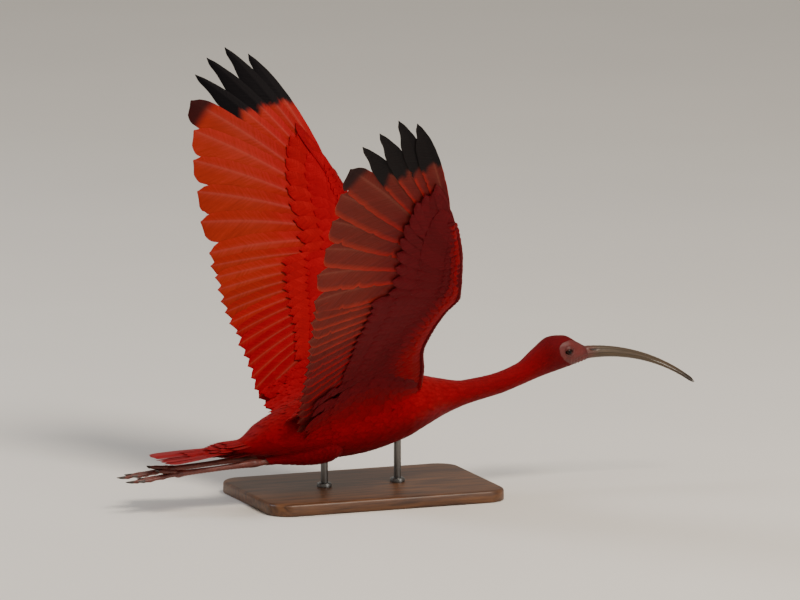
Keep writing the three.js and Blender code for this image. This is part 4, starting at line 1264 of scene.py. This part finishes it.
# Straight rows of coverts across the fan, over it and under it, higher the nearer they are to its root.
def growTailCoverts():
    rng = np.random.default_rng(tail["seed"] + 1)
    shapes = []
    for side in (1, -1):
        # Painted shade: the under coverts take the darker belly colour, and each covert is darker at its
        # root.
        shade = colours["tailTop"] if side > 0 else colours["belly"]
        for reach, count, height in tail["coverts"]:
            y = np.linspace(-13, 13, count) + rng.uniform(-0.7, 0.7, count)
            spec = {
                "half": 5.2,
                "root": np.stack([y, np.full(count, reach - 30.0) + rng.uniform(-1.5, 1.5, count)], -1),
                "heading": pi / 2 - 0.02 * y,
                "length": tail["covertLength"] * vary(rng, 0.1, count),
                "base": side * np.maximum(height + 1.6 - 0.022 * y**2, 1.2),
                "rise": -side * 0.5,
                "cup": side * 0.7,
                "thick": 0.35,
                "blunt": 2,
                "bake": np.stack([0.3 + 0.4 * (y + 15) / 30, np.full(count, 0.2 + reach / 100)], -1),
            }
            vanes = growVanes(onTail, spec, softVane, [-1, -0.4, 0, 0.4, 1])
            shapes.append(tintVanes(vanes, shade * 0.9, shade, vary(rng, 0.08, count)))
    return merge(shapes)


# The thigh, a cone of soft feathers round the shin. Each ring: x, sideways, height, radius.
thigh = {
    "rings": [
        *([-226, 16.5, -12.6, 4.4], [-206, 16.5, -15, 5], [-190, 16.5, -16.4, 8.5]),
        *([-170, 18.5, -16.5, 14], [-140, 20.5, -13, 20], [-118, 21, -9, 16]),
    ],
    "rows": (-204, -120),
    "spacing": 5,
    "half": 4.6,
    "length": 15,
}
thighY, thighZ, thighRadius = [smoothThrough(np.array(thigh["rings"])[:, [0, k]]) for k in (1, 2, 3)]


# A place on the left thigh: the round ring at x, at an angle round it, grown by the height.
def onThigh(x, turn, height):
    radius = thighRadius(x) + height
    return np.stack([x, thighY(x) + radius * np.cos(turn), thighZ(x) + radius * np.sin(turn)], -1)


# Rows round the cone whose number of feathers follows its girth, every other row half a feather round.
def growThigh(seed):
    rng = np.random.default_rng(seed)
    xs, turns = [], []
    for row, x in enumerate(np.arange(*thigh["rows"], thigh["spacing"])):
        count = int(2 * pi * float(thighRadius(x)) / thigh["half"]) + 4
        xs.append(np.full(count, x))
        turns.append((np.arange(count) + 0.5 * (row % 2)) / count * 2 * pi)
    x, turn = np.concatenate(xs), np.concatenate(turns)
    x = x + rng.uniform(-0.8, 0.8, len(x))
    count = len(x)
    size = np.clip(thighRadius(x) / 12, 0.55, 1)
    spec = {
        "half": thigh["half"] * size * vary(rng, 0.08, count),
        "root": np.stack([x, turn], -1),
        "heading": pi + rng.normal(0, 0.09, count),
        "stretch": 1 / thighRadius(x),
        "length": thigh["length"] * (0.7 + 0.3 * size) * vary(rng, 0.1, count),
        "base": -1.0 * size,
        "rise": 1.5 * size,
        "cup": 0.4 * size,
        "thick": 0.3,
        "blunt": 2,
        "bake": np.stack([(x + 230) / 100, (turn % (2 * pi)) / (2.04 * pi)], -1),
    }
    vanes = growVanes(onThigh, spec, [[0, 0.3], [0.3, 0.85], [0.62, 1], [0.86, 0.7], [1, 0.16]], [-1, 0, 1])
    # Painted shade: the thigh takes the darker belly colour, and each feather is darker at its root.
    return tintVanes(vanes, colours["belly"] * 0.8, colours["belly"], vary(rng, 0.09, count))


# Under the plumage: down, matt, and darker than the feathers over it, in tufts of 4 mm.
def makeDownMaterial():
    material, surface = newMaterial("downUnderPlumage", {"Roughness": 0.85, "Specular IOR Level": 0.15})
    tint = addNode(material, "Attribute", {}, attribute_name="tint")
    place = addNode(material, "TexCoord", {}).outputs["Object"]
    tufts = addNode(material, "TexNoise", {"Vector": place, "Scale": 1 / 0.004, "Detail": 2}).outputs["Fac"]
    relief = addNode(material, "Bump", {"Height": tufts, "Strength": 0.6, "Distance": 0.001})
    feed(material, surface, {"Base Color": tint.outputs["Color"], "Normal": relief.outputs["Normal"]})
    return material


skinSurface = {
    "Specular IOR Level": 0.4,
    "Subsurface Weight": 0.08,
    "Subsurface Radius": (0.003, 0.001, 0.0006),
    "Subsurface Scale": 0.6,
}


# Bare skin: dry and finely wrinkled, a little light shows through it, and it has a soft shine. cell is
# the size of a wrinkle or scale in metres, depth that of its creases, and the blotches are 9 mm across.
def makeSkinMaterial(name, cell, shine, depth, crease):
    material, surface = newMaterial(name, {"Roughness": shine, **skinSurface})
    tint = addNode(material, "Attribute", {}, attribute_name="tint").outputs["Color"]
    place = addNode(material, "TexCoord", {}).outputs["Object"]
    wrinkles = {"Vector": place, "Scale": 1 / cell}
    toEdge = addNode(material, "TexVoronoi", wrinkles, feature="DISTANCE_TO_EDGE").outputs["Distance"]
    blotches = {"Vector": place, "Scale": 1 / 0.009, "Detail": 3}
    blotch = addNode(material, "TexNoise", blotches).outputs["Fac"]
    inCrease = {"Value": toEdge, "From Min": 0.0, "From Max": 0.12, "To Min": crease, "To Max": 1.04}
    fine = addNode(material, "MapRange", inCrease).outputs[0]
    inBlotch = {"Value": blotch, "From Min": 0.3, "From Max": 0.7, "To Min": 0.82, "To Max": 1.15}
    coarse = addNode(material, "MapRange", inBlotch).outputs[0]
    level = addNode(material, "Math", {0: fine, 1: coarse}, operation="MULTIPLY").outputs[0]
    colour = addNode(material, "VectorMath", {0: tint, "Scale": level}, operation="SCALE")
    relief = addNode(material, "Bump", {"Height": toEdge, "Strength": 0.5, "Distance": depth})
    feed(material, surface, {"Base Color": colour.outputs[0], "Normal": relief.outputs["Normal"]})
    return material


# Horn of bill and claws: dense keratin, satin, with fine grain along its length, from a brush of noise.
def makeHornMaterial(name, roughness):
    material, surface = newMaterial(name, {"Roughness": roughness, "Specular IOR Level": 0.34})
    tint = addNode(material, "Attribute", {}, attribute_name="tint").outputs["Color"]
    place = addNode(material, "TexCoord", {}).outputs["Object"]
    along = addNode(material, "VectorMath", {0: place, 1: (0.12, 1, 1)}, operation="MULTIPLY").outputs[0]
    fibres = {"Vector": along, "Scale": 1 / 0.0016, "Detail": 3}
    grain = addNode(material, "TexNoise", fibres).outputs["Fac"]
    limits = {"Value": grain, "From Min": 0.25, "From Max": 0.75, "To Min": 0.8, "To Max": 1.18}
    level = addNode(material, "MapRange", limits).outputs[0]
    colour = addNode(material, "VectorMath", {0: tint, "Scale": level}, operation="SCALE")
    relief = addNode(material, "Bump", {"Height": grain, "Strength": 0.25, "Distance": 0.0003})
    feed(material, surface, {"Base Color": colour.outputs[0], "Normal": relief.outputs["Normal"]})
    return material


eyeSurface = {"Roughness": 0.3, "Coat Weight": 0.2, "Coat Roughness": 0.03, "Specular IOR Level": 0.05}


# Eye: wet and glassy, with a clear coat over a brown iris that is flecked every 0.6 mm.
def makeEyeMaterial():
    material, surface = newMaterial("wetEyeball", eyeSurface)
    tint = addNode(material, "Attribute", {}, attribute_name="tint").outputs["Color"]
    place = addNode(material, "TexCoord", {}).outputs["Object"]
    flecks = {"Vector": place, "Scale": 1 / 0.0006, "Detail": 2}
    fleck = addNode(material, "TexNoise", flecks).outputs["Fac"]
    level = addNode(material, "MapRange", {"Value": fleck, "To Min": 0.75, "To Max": 1.25}).outputs[0]
    colour = addNode(material, "VectorMath", {0: tint, "Scale": level}, operation="SCALE")
    feed(material, surface, {"Base Color": colour.outputs[0]})
    return material


bareFacialSkin = makeSkinMaterial("bareFacialSkin", 0.0013, 0.5, 0.0004, 0.88)
scalyLegSkin = makeSkinMaterial("scalyLegSkin", 0.0028, 0.42, 0.0004, 0.72)
billHorn = makeHornMaterial("billHorn", 0.36)
clawHorn = makeHornMaterial("clawHorn", 0.3)

# The eye looks sideways from its socket. The skin lies inside the plumage by its insets.
eye = {
    "x": 172,
    "z": 9.5,
    "radius": 4.7,
    "sunk": 2.4,
    "lidReach": 7.6,
    "opening": 4.2,
    "bulge": 0.35,  # of the clear front
    "pupilTurn": 0.33,  # radians from the pupil's middle to its edge, and to the iris's dark rim
    "limbusTurn": 0.62,
    "iris": "2a1208",
    "pupil": "010101",
    "limbus": "070403",
}
skin = {
    "bodyInset": 1.7,
    "headInset": 0.75,
    "wingInset": 1.0,
    "thighInset": 1.0,
    "faceFrom": 158,  # x from which the body's skin is bare face
    "replaces": ["torso", "neck", "head", "tail", "wing_left", "wing_right", "thigh_left", "thigh_right"],
}


# How far the head's skin is pushed out or in: sunk behind each eyeball, swollen over the brow, creased
# along the gape behind the bill, and loose under the chin.
def faceRelief(x, turn):
    point = onBody(x, turn, 0)
    x, z = point[..., 0], point[..., 2]
    onSide = np.abs(np.cos(turn)) > 0.3
    socket = -2.6 * (1 - ease((np.hypot(x - eye["x"], z - eye["z"]) - 3.4) / 2.4)) * onSide
    brow = 0.9 * bell(x, 173, 7) * bell(z, 17, 3.2)
    lore = -1.1 * bell(x, 187, 6) * bell(z, 5, 3.4) * onSide
    gape = -0.8 * bell(z, -2.2 - 0.1 * (billFace - x), 0.9) * ease((x - 176) / 8) * onSide
    waves = np.sin(x * 1.5 + 0.6 * np.sin(point[..., 1]))
    folds = 0.3 * waves * ease(-np.sin(turn)) * ease((x - 166) / 8)
    return socket + brow + lore + gape + folds


# The body's rings, drawn in by the coat's depth and by less on the bare face. They lie closer together the
# finer the form is: over the body, the head and the face.
def makeBodySkin():
    runs = [(skinEnd, 118, 66), (120.5, 150, 16), (150.9, billFace - 0.1, 56)]
    x, turn = crossed(np.concatenate([np.linspace(*run) for run in runs]), fullTurn(112))
    inset = mix(skin["bodyInset"], skin["headInset"], ease((x - 60) / 80))
    bare = ease((x - faceEdge(turn) + 3) / 3)
    rings = onBody(x, turn, -inset * (1 - 0.7 * bare) + faceRelief(x, turn) * ease((x - 150) / 12))
    face = mix(colours["face"], colours["face"] * [0.75, 0.7, 0.75], ease((x - 186) / 12)[..., None])
    return tube(rings, mix(colours["down"], face, bare[..., None]), (0, 0, 0.6, 1))


# The arm: at each span position a ring from the flesh's front to its back, over and under it, drawn in by
# the coat's depth.
def makeArmSkin():
    a, around = crossed(np.linspace(wing["innerA"], wing["handA"] - 6, 44), fullTurn(30))
    front, back = fleshFront(a) + 0.8, fleshBack(a) - 1.5
    b = (front + back) / 2 - (back - front) / 2 * np.cos(around)
    above = fleshDepth(a, b, fleshTop) - skin["wingInset"]
    below = -fleshDepth(a, b, fleshUnder) + skin["wingInset"]
    half = 0.4 * np.abs(np.sin(around))
    height = np.where(np.sin(around) > 0, np.maximum(above, half), np.minimum(below, -half))
    return tube(onWing(a, b, height), colours["down"], (0.6, 0, 0.2, 0.6))


# One skin: body and head, two arms and two shins, with the bare face a material of its own.
def makeSkin():
    body, arm = makeBodySkin(), makeArmSkin()
    x, turn = crossed(np.linspace(-207, -141, 24), fullTurn(28))
    shin = tube(onThigh(x, turn, -skin["thighInset"] + 0 * x), colours["down"], (0.6, 0.6, 0.2, 0.3))
    shapes = [body, arm, mirrored(arm), shin, mirrored(shin)]
    looks = []
    for shape in shapes:
        for face in shape["faces"]:
            middle = shape["points"][face].mean(1)
            looks.append(((shape is body) & (middle[:, 0] > skin["faceFrom"])).astype(int))
    materials = [makeDownMaterial(), bareFacialSkin]
    makePiece("skin", merge(shapes), materials, 70, skin["replaces"], np.concatenate(looks))


# The bill: a tapering arc that droops along its length, in two halves that meet in the mouth line.
bill = {
    "length": 149,
    "startSlope": radians(-8),
    "endSlope": radians(-50),
    "startX": 193,
    "startZ": -1,
    "depth": (4.4, 15.4),  # at the tip and at the root
    "half": (2.0, 6.9),
    "upperShare": 0.56,
    "mouthGap": 0.16,
    "grooveTurn": 0.62,
    "nostril": (0.05, 0.105),
    "base": "5c3029",
    "horn": "4f402f",
    "ridge": "392b21",
    "tip": "271e18",
}


# Its middle line: an arc whose slope goes evenly from the start slope to the end slope.
def billLine(t):
    slope = mix(bill["startSlope"], bill["endSlope"], t)
    radius = bill["length"] / (bill["startSlope"] - bill["endSlope"])
    x = bill["startX"] + radius * (sin(bill["startSlope"]) - np.sin(slope))
    z = bill["startZ"] + radius * (np.cos(slope) - cos(bill["startSlope"]))
    return x, z, slope


# One half of the bill as half ovals along the line, flat on the mouth side, with a groove along each side
# of the upper half from the nostril forward, and growth lines near the face.
def makeBillHalf(side):
    u = np.linspace(0, 1, 130)
    t, turn = crossed(u * (1.1 - 0.1 * u), fullTurn(48))
    x, z, slope = billLine(t)
    share = bill["upperShare"] if side > 0 else 1 - bill["upperShare"]
    blunt = np.sqrt(1 - ease((t - 0.95) / 0.05) * 0.93)
    taper = (1 - t) ** 1.3
    depth = mix(*bill["depth"], taper) * blunt * share
    wide = mix(*bill["half"], taper) * blunt
    high = np.clip(np.sin(turn), 0, 1)
    groove = bell(np.minimum(turn, np.abs(pi - turn)), bill["grooveTurn"], 0.15) * (turn < pi) * (side > 0)
    groove = groove * ease((t - 0.035) / 0.03) * (1 - ease((t - 0.6) / 0.34))
    low, far = bill["nostril"]
    slit = np.exp(-(((t - (low + far) / 2) / ((far - low) / 2)) ** 4)) * (groove > 0.45)
    sunk = 0.55 * groove * (0.5 + 0.5 * taper) + 1.1 * slit
    growth = 0.07 * np.sin(t * 150) * (1 - ease(t / 0.3))
    reach = 1 + (growth - sunk) / np.maximum(wide, 2)
    up = side * (bill["mouthGap"] + depth * high * reach)
    rings = np.stack([x - up * np.sin(slope), wide * np.cos(turn) * reach, z + up * np.cos(slope)], -1)
    base, horn, ridge, tip = [colourOf(bill[key]) for key in ("base", "horn", "ridge", "tip")]
    tint = mix(base, horn, ease(t / 0.16)[..., None])
    tint = mix(tint, ridge, (0.6 * high**4 * ease(t / 0.2))[..., None])
    tint = mix(tint, tip, ease((t - 0.72) / 0.28)[..., None])
    # Painted shade: the tint darkens in the groove, and more in the nostril slit, as if in their hollows.
    tint = tint * (1 - 0.35 * groove - 0.5 * slit)[..., None]
    keep = x[:, 0] > billFace - 2.4
    return tube(rings[keep], tint[keep])


# The eye: a ball with a clear bulge over the iris, as rings round its axis, which points sideways. Its
# colours are rings too, by the angle from the middle of the pupil, with fibres across the iris.
def makeEye():
    polar, turn = crossed(np.linspace(0.02, pi - 0.02, 34), fullTurn(40))
    radius = eye["radius"] - 0.1 + eye["bulge"] * bell(polar, 0, eye["limbusTurn"])
    centreY = float(bodyHalf(eye["x"])) - eye["sunk"]
    x = eye["x"] + radius * np.sin(polar) * np.cos(turn)
    y = centreY + radius * np.cos(polar)
    z = eye["z"] + radius * np.sin(polar) * np.sin(turn)
    fibres = 0.16 * np.sin(turn * 20 + 2 * np.sin(polar * 9)) + 0.1 * np.sin(turn * 7)
    pupil = (polar < eye["pupilTurn"])[..., None]
    limbus = ease((polar - eye["limbusTurn"]) / 0.1)[..., None]
    iris = colourOf(eye["iris"]) * (1 + fibres)[..., None]
    tint = np.where(pupil, colourOf(eye["pupil"]), mix(iris, colourOf(eye["limbus"]), limbus))
    return tube(np.stack([x, y, z], -1), tint)


# The lids: a soft ring round the opening, as a closed tube whose inner side lies on the eyeball. It is
# wider and heavier above, and drawn out a little to a corner before and behind.
def makeLids():
    along, turn = crossed(fullTurn(72), fullTurn(18))
    centreY = float(bodyHalf(eye["x"])) - eye["sunk"]
    above = np.clip(np.sin(along), 0, 1)
    middle = (eye["opening"] + eye["lidReach"]) / 2 - 0.8 + 0.9 * np.abs(np.cos(along)) ** 6
    middle = middle - 0.35 * above
    crease = 0.16 * np.cos(turn * 3) * (np.cos(turn) > -0.2)
    reach = middle + (1.5 + 0.3 * above + crease) * np.cos(turn)
    out = 2.5 - 0.12 * (middle - 4.2) ** 2 + 1.0 * np.sin(turn) - 0.62 * (reach - 4.4)
    x, z = eye["x"] + reach * np.cos(along), eye["z"] + reach * np.sin(along)
    return ringSurface(np.stack([x, centreY + out, z], -1), colours["face"] * 0.8)


# The bare leg and foot: the end of the shin, the ankle, the long shank with its scutes, and four toes
# with pads, webs and claws. The line has a radius at each of its points.
leg = {
    "line": [
        *([-204, 16.5, -15.1], [-220, 16.5, -13.8], [-231, 16.5, -12], [-240, 16.35, -10.75]),
        *([-275, 15.76, -6], [-310, 15.17, -0.86], [-320, 15, 0.5]),
    ],
    "radii": [3.9, 4.0, 5.6, 4.4, 3.3, 3.7, 4.5],
    "knuckle": (27, 5),  # distance along the line, and half width
    "scute": 4.6,  # millimetres from one scute to the next
    "toeScute": 2.6,
    "heel": [[-316.3, 15.1, 0.2], [-321.3, 15, 0.7], [-327.3, 15, 1.7]],
    "colour": "70382f",
    "joint": "5c2b25",
    "toe": "643128",
    "claw": "2c211c",
    "squash": 0.92,
}
toes = [
    {"length": 62, "spread": 0, "rise": 0.1, "lift": 0, "pads": [0.3, 0.56, 0.78]},
    {"length": 50, "spread": 0.16, "rise": 0.1, "lift": 0, "pads": [0.36, 0.68]},
    {"length": 46, "spread": -0.15, "rise": 0.1, "lift": 0, "pads": [0.34, 0.6, 0.8]},
    {"length": 24, "spread": 0.02, "rise": 0.3, "lift": 2.6, "pads": [0.55]},
]
toeRoot = np.array([-323.3, 15.0, 0.9])


# Plates across the front of the shank: each ring swells along a scute and drops at its end. The front of
# a leg that trails is its lower side.
def scuteRelief(far, turn, size, front):
    saw = (far / size) % 1
    return 0.34 * (saw - 0.5) * ease((1 - saw) * 6) * ease(np.cos(turn - front) * 2.2)


def makeShank():
    rows, sides = 170, 26
    rings = limbRings(leg["line"], leg["radii"], rows, sides, leg["squash"])
    centre = rings.mean(axis=1, keepdims=True)
    far = np.r_[0, np.cumsum(np.linalg.norm(np.diff(centre[:, 0], axis=0), axis=1))][:, None]
    turn = fullTurn(sides)[None, :]
    knuckle = bell(far, *leg["knuckle"])
    relief = scuteRelief(far, turn, leg["scute"], -pi / 2) * (1 - knuckle)
    relief = relief + 0.45 * knuckle * np.cos(2 * turn)
    rings = rings + unit(rings - centre) * relief[..., None]
    skinTone = mix(colourOf(leg["colour"]), colourOf(leg["joint"]), knuckle[..., None])
    # Painted shade: the front of the shank darkens in the crease at the end of each scute.
    shade = 1 - 0.3 * ease(1 - (far / leg["scute"]) % 1 * 7) * ease(np.cos(turn + pi / 2) * 2)
    return tube(rings, skinTone * shade[..., None], (0, 0, 0.5, 1))


def onToe(toe, t):
    length = toe["length"]
    step = np.array([-length, length * toe["spread"], length * toe["rise"]])
    return toeRoot + [0, 0, toe["lift"]] + step * np.asarray(t, float)[..., None]


# A toe: a tube that swells at each pad on its lower side, with small scutes on top.
def makeToe(toe, index):
    rows, sides = 80, 18
    shares = [-0.02, 0.15, 0.3, 0.45, 0.6, 0.75, 0.87]
    rings = limbRings(onToe(toe, shares), [3.1, 2.6, 2.4, 2.3, 2.15, 1.95, 1.5], rows, sides, 0.9)
    centre = rings.mean(axis=1, keepdims=True)
    t, turn = np.linspace(shares[0], shares[-1], rows)[:, None], fullTurn(sides)[None, :]
    far, size = t * toe["length"], leg["toeScute"]
    pads = sum(bell(t, where, 3.4 / toe["length"]) for where in toe["pads"])
    low = np.clip(-np.sin(turn), 0, 1)
    relief = 0.75 * pads * (0.35 + 0.65 * low) + scuteRelief(far, turn, size, pi / 2) * 0.7
    rings = rings + unit(rings - centre) * relief[..., None]
    # Painted shade: the top of the toe darkens in the crease at the end of each scute.
    shade = 1 - 0.28 * ease(1 - (far / size) % 1 * 5) * ease(np.sin(turn) * 2)
    return tube(rings, colourOf(leg["toe"]) * shade[..., None], (0.5, 0.2 * index, 0.25, 0.18))


# A claw: a tapering horn tube that curves up a little with the lie of the trailing foot.
def makeClaw(toe, index):
    t = np.array([0.8, 0.85, 0.9, 0.96, 1.0])
    line = onToe(toe, t)
    line[:, 2] += 1.6 * ((t - 0.8) / 0.2) ** 2
    rings = limbRings(line, [1.5, 1.62, 1.35, 0.85, 0.25], 24, 14, 1.1)
    tint = mix(colourOf(leg["claw"]) * 1.6, colourOf(leg["claw"]), np.linspace(0, 1, 24)[:, None, None])
    return tube(rings, tint, (0.25 * index, 0, 0.24, 1))


# A small web between the middle toe and each side toe: a closed sheet whose free edge is drawn in.
def makeWeb(one, other, index):
    t, s = crossed(np.linspace(0.03, 0.27, 14), np.linspace(0, 1, 8))
    t = t - 0.11 * (t / 0.27) * np.sin(pi * s)
    sheet = onToe(one, t) * (1 - s[..., None]) + onToe(other, t * 1.2) * s[..., None]
    half = [0, 0, 0.35]
    loop = np.concatenate([sheet + half, (sheet - half)[:, ::-1]], axis=1)
    return tube(loop, colourOf(leg["toe"]) * 0.9, (0.76, 0.3 * index, 0.2, 0.28))


def makeLegs():
    heel = limbRings(leg["heel"], [4.3, 4.7, 2.6], 20, 20, 0.95)
    parts = [makeShank(), tube(heel, colourOf(leg["joint"]), (0.5, 0.82, 0.2, 0.16))]
    parts += [makeToe(toe, index) for index, toe in enumerate(toes)]
    parts += [makeWeb(toes[0], toes[index + 1], index) for index in (0, 1)]
    bare, horn = merge(parts), merge([makeClaw(toe, index) for index, toe in enumerate(toes)])
    for name, turned in bothSides:
        replaced = ("leg_" + name, "foot_" + name)
        makePiece("leg_skin_" + name, turned(bare), [scalyLegSkin], 70, replaced)
        makePiece("claws_" + name, turned(horn), [clawHorn], 70)


# The stand: two rods from a rounded board up to the belly.
stand = {
    "corner": 26,
    "edge": 4,
    "rodRadius": 4.2,
    "rodX": (-40, -130),
    "collar": (8.5, 5),  # radius and height of the ring where a rod enters the board
    "wood": [(0.35, "3d2414"), (0.66, "6b4426")],
    "grain": 0.006,
    "steel": "6e6c6a",
}


# The board: a rounded rectangle drawn in by a quarter circle at its upper and lower edge, and closed by
# rings that shrink to the middle of each face.
def makeBoard():
    low, high = baseLow / millimetre, baseHigh / millimetre
    centre, half = (low + high) / 2, (high - low) / 2
    turn = fullTurn(160)
    corner, edge = stand["corner"], stand["edge"]
    core = half[:2] - corner
    out = np.stack([np.sign(np.cos(turn)) * core[0], np.sign(np.sin(turn)) * core[1]], -1)
    arm = np.stack([np.cos(turn), np.sin(turn)], -1)
    quarter = np.linspace(0, pi / 2, 7)
    low, high = 0.05, 2 * half[2] - 0.05
    inward = np.r_[60, 20, edge * (1 - np.sin(quarter)), edge * (1 - np.cos(quarter[1:])), 20, 60]
    bottomEdge, topEdge = low + 1.2 * (1 - np.cos(quarter)), high - edge * (1 - np.sin(quarter[1:]))
    rings = []
    for draw, z in zip(inward, np.r_[low, low, bottomEdge, topEdge, high, high]):
        flat = out * (1 - max(draw - corner, 0) / core) + arm * max(corner - draw, 0)
        rings.append(np.c_[flat + centre[:2], np.full(len(turn), z)])
    return tube(fromPart(np.array(rings) * millimetre), colourOf(stand["wood"][1][1]))


# A rod: a profile of radius and height turned round an upright line, with a collar at its foot. It ends
# inside the belly's plumage.
def makeRod(x):
    radius, height = stand["collar"]
    rod = stand["rodRadius"]
    foot = baseHigh[2] / millimetre
    top = toPart([x, 0, float(bodyBottom(x))])[2] / millimetre - foot
    profile = [
        *([rod + 0.5, 0.1], [radius, 0.1], [radius, height - 1.4], [radius - 0.5, height - 0.5]),
        *([radius - 1.6, height], [rod, height + 0.1], [rod, height + 8]),
        *([rod, top / 2], [rod, top - 6], [rod, top + 1.5]),
    ]
    reach, level = np.array(profile).T[:, :, None]
    turn = fullTurn(48)
    forward = birdPlace[0] / millimetre + x + reach * np.cos(turn)
    rings = np.stack([forward, reach * np.sin(turn), foot + level + 0 * turn], -1)
    return tube(fromPart(rings * millimetre), colourOf(stand["steel"]))


# Oiled walnut: brown with dark growth rings stretched along the board, pores, and a satin film of oil.
def makeWalnut():
    material, surface = newMaterial("oiledWalnut", {"Roughness": 0.42, "Specular IOR Level": 0.45})
    place = addNode(material, "TexCoord", {}).outputs["Object"]
    along = addNode(material, "VectorMath", {0: place, 1: (0.07, 1, 1)}, operation="MULTIPLY").outputs[0]
    warp = addNode(material, "TexNoise", {"Vector": along, "Scale": 1 / 0.03, "Detail": 2}).outputs["Color"]
    bent = {0: warp, 1: (0.03, 0.03, 0.03), 2: along}
    warped = addNode(material, "VectorMath", bent, operation="MULTIPLY_ADD").outputs[0]
    growth = {"Vector": warped, "Scale": 1 / stand["grain"], "Detail": 4, "Roughness": 0.6}
    ramp = addNode(material, "ValToRGB", {"Fac": addNode(material, "TexNoise", growth).outputs["Fac"]})
    setRamp(ramp, stand["wood"])
    dots = {"Vector": along, "Scale": 1 / 0.0014, "Detail": 2}
    pores = addNode(material, "TexNoise", dots).outputs["Fac"]
    relief = addNode(material, "Bump", {"Height": pores, "Strength": 0.2, "Distance": 0.0004})
    feed(material, surface, {"Base Color": ramp.outputs["Color"], "Normal": relief.outputs["Normal"]})
    return material


# Brushed steel: metal with a fine grain round the rod, which spreads its highlights.
def makeSteel():
    material, surface = newMaterial("brushedSteel", {"Base Color": linear(stand["steel"]), "Metallic": 1.0})
    place = addNode(material, "TexCoord", {}).outputs["Object"]
    along = addNode(material, "VectorMath", {0: place, 1: (0.1, 0.1, 1)}, operation="MULTIPLY").outputs[0]
    scratches = {"Vector": along, "Scale": 1 / 0.0012, "Detail": 3}
    grain = addNode(material, "TexNoise", scratches).outputs["Fac"]
    rough = addNode(material, "MapRange", {"Value": grain, "To Min": 0.24, "To Max": 0.44})
    feed(material, surface, {"Roughness": rough.outputs[0]})
    return material


def asItIs(shape):
    return shape


bothSides = (("left", asItIs), ("right", mirrored))
wingSeeds = {"left": 31, "right": 47}
makeSkin()
makePiece("body_feathers", growContour(), [contourFeather])
print("body covered")
for name, turned in bothSides:
    seed = wingSeeds[name]
    top, under = growWingCoverts(seed + 1)
    coats = {
        "wing_coverts_top_": top,
        "wing_coverts_under_": under,
        "scapulars_": growBridge("scapular", overWing, 1, seed + 2, ("back", "wingTop")),
        # Painted shade: the axillaries darken from the back's colour to the wing's darker under side.
        "axillaries_": growBridge("axillary", underWing, -1, seed + 3, ("back", "wingUnder")),
        "thigh_feathers_": growThigh(seed + 4),
    }
    makePiece("flight_feathers_" + name, turned(growFlight(seed)), [flightFeather])
    for title, shape in coats.items():
        makePiece(title + name, turned(shape), [contourFeather])
print("wings covered")
makePiece("tail_feathers", growTail(), [flightFeather])
makePiece("tail_coverts", growTailCoverts(), [contourFeather])
makePiece("bill_horn_upper", makeBillHalf(1), [billHorn], 60, ("bill_upper",))
makePiece("bill_horn_lower", makeBillHalf(-1), [billHorn], 60, ("bill_lower",))
wetEyeball = makeEyeMaterial()
for name, turned in bothSides:
    makePiece("eyeball_" + name, turned(makeEye()), [wetEyeball], 180, ("eye_" + name,))
    makePiece("eyelids_" + name, turned(makeLids()), [bareFacialSkin], 180)
print("tail and head finished")
makeLegs()
print("legs finished")
makePiece("walnut_board", makeBoard(), [makeWalnut()], 40, ("stand_base",))
brushedSteel = makeSteel()
for name, x in zip(("front", "rear"), stand["rodX"]):
    makePiece("rod_" + name, makeRod(x), [brushedSteel], 35, ("stand_rod_" + name,))
print("stand finished")
